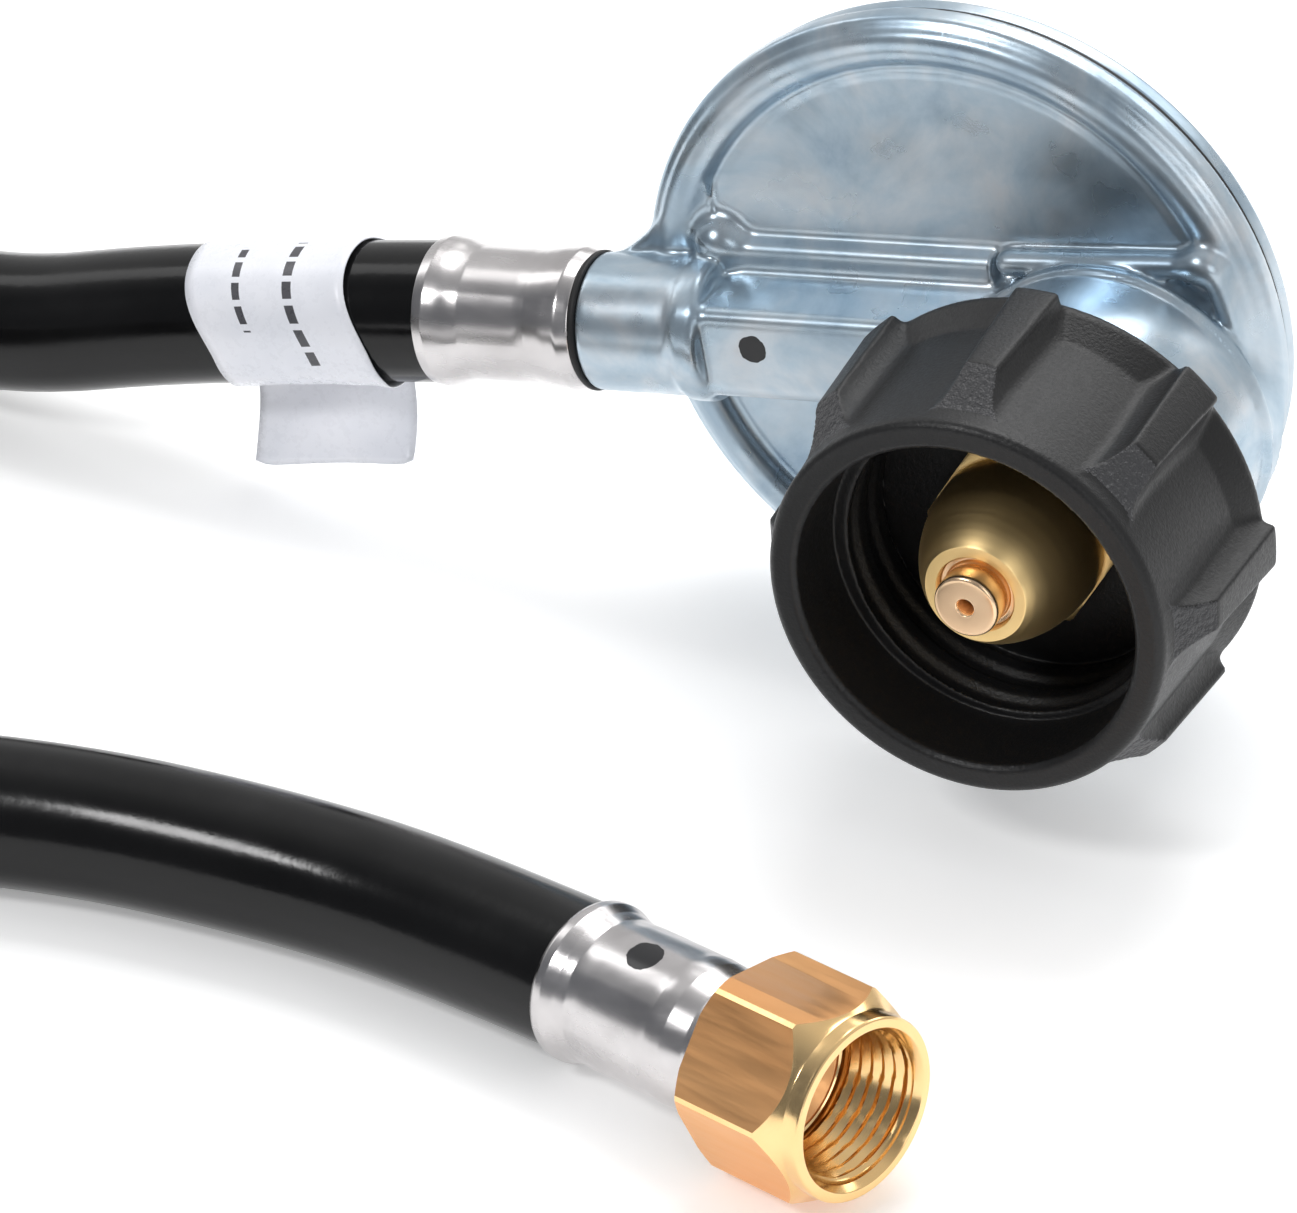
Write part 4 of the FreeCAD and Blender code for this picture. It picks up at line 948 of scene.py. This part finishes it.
def make_flare_end():
    """The swivel nut, with its drawn flats apart from its turned faces, and the stem that holds it."""
    outside = [(5.15, 0, 0), (9.9, 0, 0), (NUT_CORNER, 0.75, 0), (NUT_CORNER, NUT_HEX_LENGTH - 0.5, 0),
               (9.45, 12.55, 0), (9.3, 12.9, 0.2), (9.3, NUT_MOUTH, 0.45), (8.25, NUT_MOUTH, 0.2),
               (7.72, 13.9, 0)]
    thread = [(7.7, station, 0) for station in np.arange(13.8, 5.0, -0.11)]
    inside = [(7.9, 4.95, 0), (7.9, 4.6, 0), (5.15, 1.95, 0)]
    outline = rounded(outside + thread + inside, 0.2, 4)
    nut = lathe("swivel_nut", nut_frame, outline, "flare_nut", NUT_BRASS, 240, nut_shape, 22)
    nut.data.materials.append(TURNED_BRASS)
    centres = np.empty(len(nut.data.polygons) * 3)
    nut.data.polygons.foreach_get("center", centres)
    local = (centres.reshape(-1, 3) / MM - nut_frame.origin) @ nut_frame.axes.T
    radial, angles = np.hypot(local[:, 0], local[:, 1]), np.arctan2(local[:, 1], local[:, 0])
    folded = (angles - NUT_ROLL) % (math.pi / 3) - math.pi / 6
    turned = np.abs(radial * np.cos(folded) - NUT_FLATS / 2) >= 0.05
    turned |= (local[:, 2] <= 0.05) | (local[:, 2] >= 12.4)
    nut.data.polygons.foreach_set("material_index", turned.astype(np.int32))
    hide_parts("flare_nut")
    outline = rounded([(2.6, -18.4, 0), (3.5, -18.4), (4.0, -17.4), (4.0, -2, 0), (5.05, -2, 0),
                       (5.05, 2.2, 0.3), (6.9, 4.05, 0.2), (6.9, 5.2, 0.25), (6.5, 5.2, 0.15),
                       (3.2, 1.9, 0.3), (2.6, 0.8, 0)], 0.2, 4)
    stem = lathe("flare_tail", nut_frame, outline, "regulator", NUT_BRASS)
    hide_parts("flare_stem")
    return nut, stem


swivel_nut, flare_tail = make_flare_end()


# ---- label
LABEL_LEFT, LABEL_RIGHT = 27.5, 8.4
LABEL_GAP = 0.12
LABEL_THICK = 0.16
FLAG_DROP = 10.2
FLAG_CURL = 3.0
LABEL_START, LABEL_TURN = math.radians(188), math.radians(352)


def label_point(along, angle, radius):
    """A point round the hose, along mm past the ferrule: angle 0 on top, a quarter turn at the front."""
    steps = np.linalg.norm(np.diff(HOSE_LINE, axis=0), axis=1)
    travelled = np.concatenate([[0], np.cumsum(steps)]) / MM - 2.5
    centre, ahead = (np.array([np.interp(distance, travelled, axis) for axis in HOSE_LINE.T]) / MM
                     for distance in (along, along + 1))
    front = unit(np.cross(ahead - centre, (0, 0, 1)))
    front *= -1 if front[1] > 0 else 1
    up = unit(np.cross(front, ahead - centre))
    up *= 1 if up[2] > 0 else -1
    return centre + radius * (math.cos(angle) * up + math.sin(angle) * front)


def make_label():
    """A strip wound once round the hose at a slight slant, its ends stuck together as a hanging flag."""
    across_steps, round_steps, flag_steps = 16, 72, 14
    radius = HOSE_RADIUS + LABEL_GAP
    w = np.arange(across_steps + 1) / across_steps
    flag_rows, rows = [], []
    for k in range(flag_steps, 0, -1):
        part = k / flag_steps
        along = (LABEL_LEFT - 2.1) * (1 - w) + (LABEL_RIGHT - 2.2) * w - 1.3 * part
        curl = -FLAG_CURL * part ** 1.6 + 0.3 * np.sin(5 * w + part * FLAG_DROP * 0.5)
        corner = 0.7 * np.maximum(0, np.abs(w - 0.5) - 0.42) / 0.08 * max(0.0, part - 0.85) / 0.15
        base = np.array([label_point(a, LABEL_START, radius + 0.1) for a in along])
        flag_rows.append(base + np.stack([0 * w, curl, corner - part * FLAG_DROP], 1))
    for i in range(round_steps + 1):
        angle = LABEL_START + i / round_steps * LABEL_TURN
        drop = 0.5 - 0.5 * math.cos(angle)
        below = smooth_step((drop - 0.8) / 0.2)
        slant_left = 2.75 * smooth_step(drop * 1.6) - 0.65 * below
        slant_right = 2.2 * smooth_step(drop * 1.6) + 0.8 * (drop ** 2 - below)
        along = (LABEL_LEFT - slant_left) * (1 - w) + (LABEL_RIGHT - slant_right) * w
        wave = 0.10 * np.sin(7 * w + 3 * angle) + 0.05 * np.sin(19 * w - 5 * angle)
        lift = 0.35 * np.maximum(0, w - 0.86) / 0.14 * (0.5 + 0.5 * math.sin(3 * angle))
        rows.append([label_point(a, angle, radius + 0.1 + out) for a, out in zip(along, wave * 0.6 + lift)])
    everything = flag_rows + rows
    vertices = np.array(everything).reshape(-1, 3) * MM
    width = across_steps + 1
    faces = [(r * width + c, r * width + c + 1, (r + 1) * width + c + 1, (r + 1) * width + c)
             for r in range(len(everything) - 1) for c in range(across_steps)]
    label = mesh_object("paper_label", vertices, faces, "regulator", PAPER, 60)
    layer = label.data.uv_layers.new(name="print")
    width_mm, round_mm = LABEL_LEFT - LABEL_RIGHT, TAU * radius
    for loop in label.data.loops:
        row, column = divmod(loop.vertex_index, width)
        wound = (row - len(flag_rows)) / round_steps
        layer.data[loop.index].uv = (column / across_steps * width_mm, wound * round_mm)
    solidify = label.modifiers.new("thickness", "SOLIDIFY")
    solidify.thickness = LABEL_THICK * MM
    solidify.offset = 0
    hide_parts("label")
    return label


paper_label = make_label()


# ---- coil tie
def make_tie():
    """A tape round the three stacked turns."""
    thick, width, angle = 0.6, 16.0, math.radians(205)
    centres = [(INNER_TURN, FLOOR_TURN_HEIGHT), (OUTER_TURN, FLOOR_TURN_HEIGHT),
               ((INNER_TURN + OUTER_TURN) / 2, FLOOR_TURN_HEIGHT + 13.0)]

    def hull(offset, count=96):
        ring = []
        for step in range(count):
            direction = np.array([math.cos(step * TAU / count), math.sin(step * TAU / count)])
            reach = [direction @ np.array(centre) for centre in centres]
            ring.append(np.array(centres[int(np.argmax(reach))]) + direction * (HOSE_RADIUS + offset))
        return np.array(ring)

    inner, outer = hull(0.02), hull(0.02 + thick)
    outer[:, 1] = np.maximum(outer[:, 1], 0.02)
    radial = np.array([math.cos(angle), math.sin(angle), 0])
    side = np.array([-math.sin(angle), math.cos(angle), 0])
    centre = np.array([*COIL_CENTRE, 0])
    edges = (-width / 2, -width / 2 + 0.3, width / 2 - 0.3, width / 2)
    rings = [centre + np.outer(ring[:, 0], radial) + side * across + np.outer(ring[:, 1], (0, 0, 1))
             for ring, across in [(inner, edges[0]), *((outer, edge) for edge in edges),
                                  *((inner, edge) for edge in edges[:0:-1])]]
    tie = lofted("tie_band", [floor_frame.out(ring) for ring in rings], "regulator", WEAVE, 40, closed=True)
    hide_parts("coil_tie")
    return tie


tie_band = make_tie()


# ---- springs inside
def make_spring(name, node, wire, turns):
    """A wire spring in place of a node, riding on the regulator."""
    low, high = (np.array(corner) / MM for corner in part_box(node))
    middle = (low + high) / 2
    radius = (high[0] - low[0]) / 2 - wire
    start, end = low[1] + wire, high[1] - wire
    count = int(turns * 36)
    ring = np.arange(12)[:, None] * TAU / 12
    rings = []
    for step in range(count + 1):
        turn = step / count * turns * TAU
        out = np.array([math.cos(turn), 0, math.sin(turn)])
        centre = np.array([middle[0], start + (end - start) * step / count, middle[2]]) + radius * out
        rings.append((centre + wire * (np.cos(ring) * out + np.sin(ring) * np.array([0, 1, 0]))) * MM)
    spring = lofted(name, rings, "regulator", SPRING_STEEL, 60)
    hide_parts(node)
    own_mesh(spring)


make_spring("main_coil_spring", "main_spring", 0.7, 5)
make_spring("plunger_return_spring", "excess_flow_spring", 0.3, 4)


# ---- diaphragm
DIAPHRAGM_THICK = 0.8
DIAPHRAGM_BORE, FOLD_INNER, FOLD_OUTER, LIP_RADIUS = 2.0, 14.6, 24.4, 34.3
FOLD_DEPTH = 1.8
FOLD_WEDGES, WEDGE_STEPS = 8, 12


def fold_wedge(number, outline):
    """One wedge of the diaphragm's fold, between the middle and the clamped rim, on no body."""
    middle_angle, half = number * TAU / FOLD_WEDGES, TAU / FOLD_WEDGES / 2
    radial, along = outline.T
    rings = [casting_frame.out(np.stack([radial * math.cos(angle), radial * math.sin(angle), along], 1))
             for angle in np.linspace(middle_angle - half, middle_angle + half, WEDGE_STEPS + 1)]
    wedge = lofted(f"diaphragm_fold_{number + 1}", rings, None, SEAL_RUBBER, 40)
    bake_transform(wedge)


def make_diaphragm():
    """Rubber diaphragm: its middle travels, its rim stays clamped and the fold joins them."""
    front, back = -RIM_DEPTH, -RIM_DEPTH - DIAPHRAGM_THICK
    for name, inner, outer, body in (("diaphragm_middle", DIAPHRAGM_BORE, FOLD_INNER, "diaphragm_group"),
                                     ("diaphragm_rim", FOLD_OUTER, LIP_RADIUS, "regulator")):
        outline = [(inner, front), (outer, front), (outer, back), (inner, back)]
        ring = lathe(name, casting_frame, outline, body, SEAL_RUBBER, FOLD_WEDGES * WEDGE_STEPS)
        if body == "diaphragm_group":
            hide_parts("diaphragm")
    outline = np.array(rounded([
        (FOLD_INNER, front, 0), (15.0, front), (17.0, front - FOLD_DEPTH), (21.0, front - FOLD_DEPTH),
        (24.0, front), (FOLD_OUTER, front, 0), (FOLD_OUTER, back, 0), (21.3, back - FOLD_DEPTH),
        (16.7, back - FOLD_DEPTH), (FOLD_INNER, back, 0)], 0.5))
    for number in range(FOLD_WEDGES):
        fold_wedge(number, outline)


make_diaphragm()


# ---- carried over CAD nodes
CARRIED = (
    (STEEL, ("vent_screen", "diaphragm_front_plate", "diaphragm_back_plate", "lever_hook_post", "relief_nut",
             "lever", "lever_pin")),
    (SPRING_STEEL, ("relief_spring",)),
    (BLACK_PLASTIC, ("adjusting_screw", "closing_cap")),
    (SEAL_RUBBER, ("seat_disc",)),
    (NIPPLE_BRASS, ("orifice", "outlet_stem")),
    (ACETAL, ("excess_flow_plunger", "handwheel_washer")),
)
for material, node_names in CARRIED:
    for node_name in node_names:
        for slot in frame["nodes"][node_name].material_slots:
            slot.material = material


# ---- floor, light and camera
def make_floor():
    size = 3.0
    mesh = bpy.data.meshes.new("floor")
    mesh.from_pydata([(-size, -size, 0), (size, -size, 0), (size, size, 0), (-size, size, 0)], [],
                     [(0, 1, 2, 3)])
    mesh.materials.append(floor_material())
    floor = linked("floor", mesh)
    floor.location.z = -0.0002


def make_light(name, spot, size, power):
    """An area light, width and height in metres, aimed at a point just above the floor."""
    light = bpy.data.lights.new(name, "AREA")
    light.shape = "RECTANGLE"
    light.size, light.size_y = size
    light.energy = power
    thing = linked(name, light)
    thing.location = spot
    thing.rotation_euler = (Vector((0, 0, 0.03)) - Vector(spot)).to_track_quat("-Z", "Y").to_euler()


def make_world():
    world = bpy.data.worlds.new("studio")
    bpy.context.scene.world = world
    world.use_nodes = True
    nodes, links = world.node_tree.nodes, world.node_tree.links
    background = nodes["Background"]
    coordinates = nodes.new("ShaderNodeTexCoord")
    ramp = nodes.new("ShaderNodeValToRGB")
    facing = nodes.new("ShaderNodeVectorMath")
    facing.operation = "DOT_PRODUCT"
    facing.inputs[1].default_value = (-0.25, -0.90, 0.10)
    links.new(coordinates.outputs["Generated"], facing.inputs[0])
    links.new(facing.outputs["Value"], ramp.inputs["Fac"])
    elements = ramp.color_ramp.elements
    elements[0].position, elements[0].color = 0.0, (1.0, 1.0, 1.0, 1)
    elements[1].position, elements[1].color = 0.55, (0.26, 0.27, 0.29, 1)
    links.new(ramp.outputs["Color"], background.inputs["Color"])
    background.inputs["Strength"].default_value = 0.68


AZIMUTH, ELEVATION = math.radians(24.84), math.radians(33.35)
DISTANCE = 800.0
ACROSS, RAISED = -31.74, -28.56
SENSOR = 36.0
LENS = 217.6


def make_camera():
    """The photograph's viewing angle: azimuth 0 would look along +Y."""
    right = np.array([math.cos(AZIMUTH), math.sin(AZIMUTH), 0])
    back = np.array([math.sin(AZIMUTH) * math.cos(ELEVATION), -math.cos(AZIMUTH) * math.cos(ELEVATION),
                     math.sin(ELEVATION)])
    up = np.cross(back, right)
    place = (disc + right * ACROSS + up * RAISED + back * DISTANCE) * MM
    data = bpy.data.cameras.new("camera")
    data.lens = LENS
    data.sensor_width = SENSOR
    data.clip_start = 0.01
    camera = linked("camera", data)
    turn = Matrix([[right[i], up[i], back[i]] for i in range(3)])
    camera.matrix_world = Matrix.Translation(Vector(place)) @ turn.to_4x4()
    bpy.context.scene.camera = camera


make_floor()
make_world()
make_light("overhead", (-0.05, 0.38, 0.85), (0.5, 0.45), 3.6)
make_light("left", (-0.75, 0.15, 0.55), (0.25, 0.6), 0.8)
make_light("right_front", (0.65, -0.75, 0.5), (0.35, 0.6), 1.4)
make_light("front", (-0.36, -0.66, 0.74), (0.20, 0.20), 3.2)
make_light("behind", (0.1, 0.8, 0.55), (0.9, 0.3), 2.0)
make_camera()
bpy.context.scene.view_settings.view_transform = "Standard"
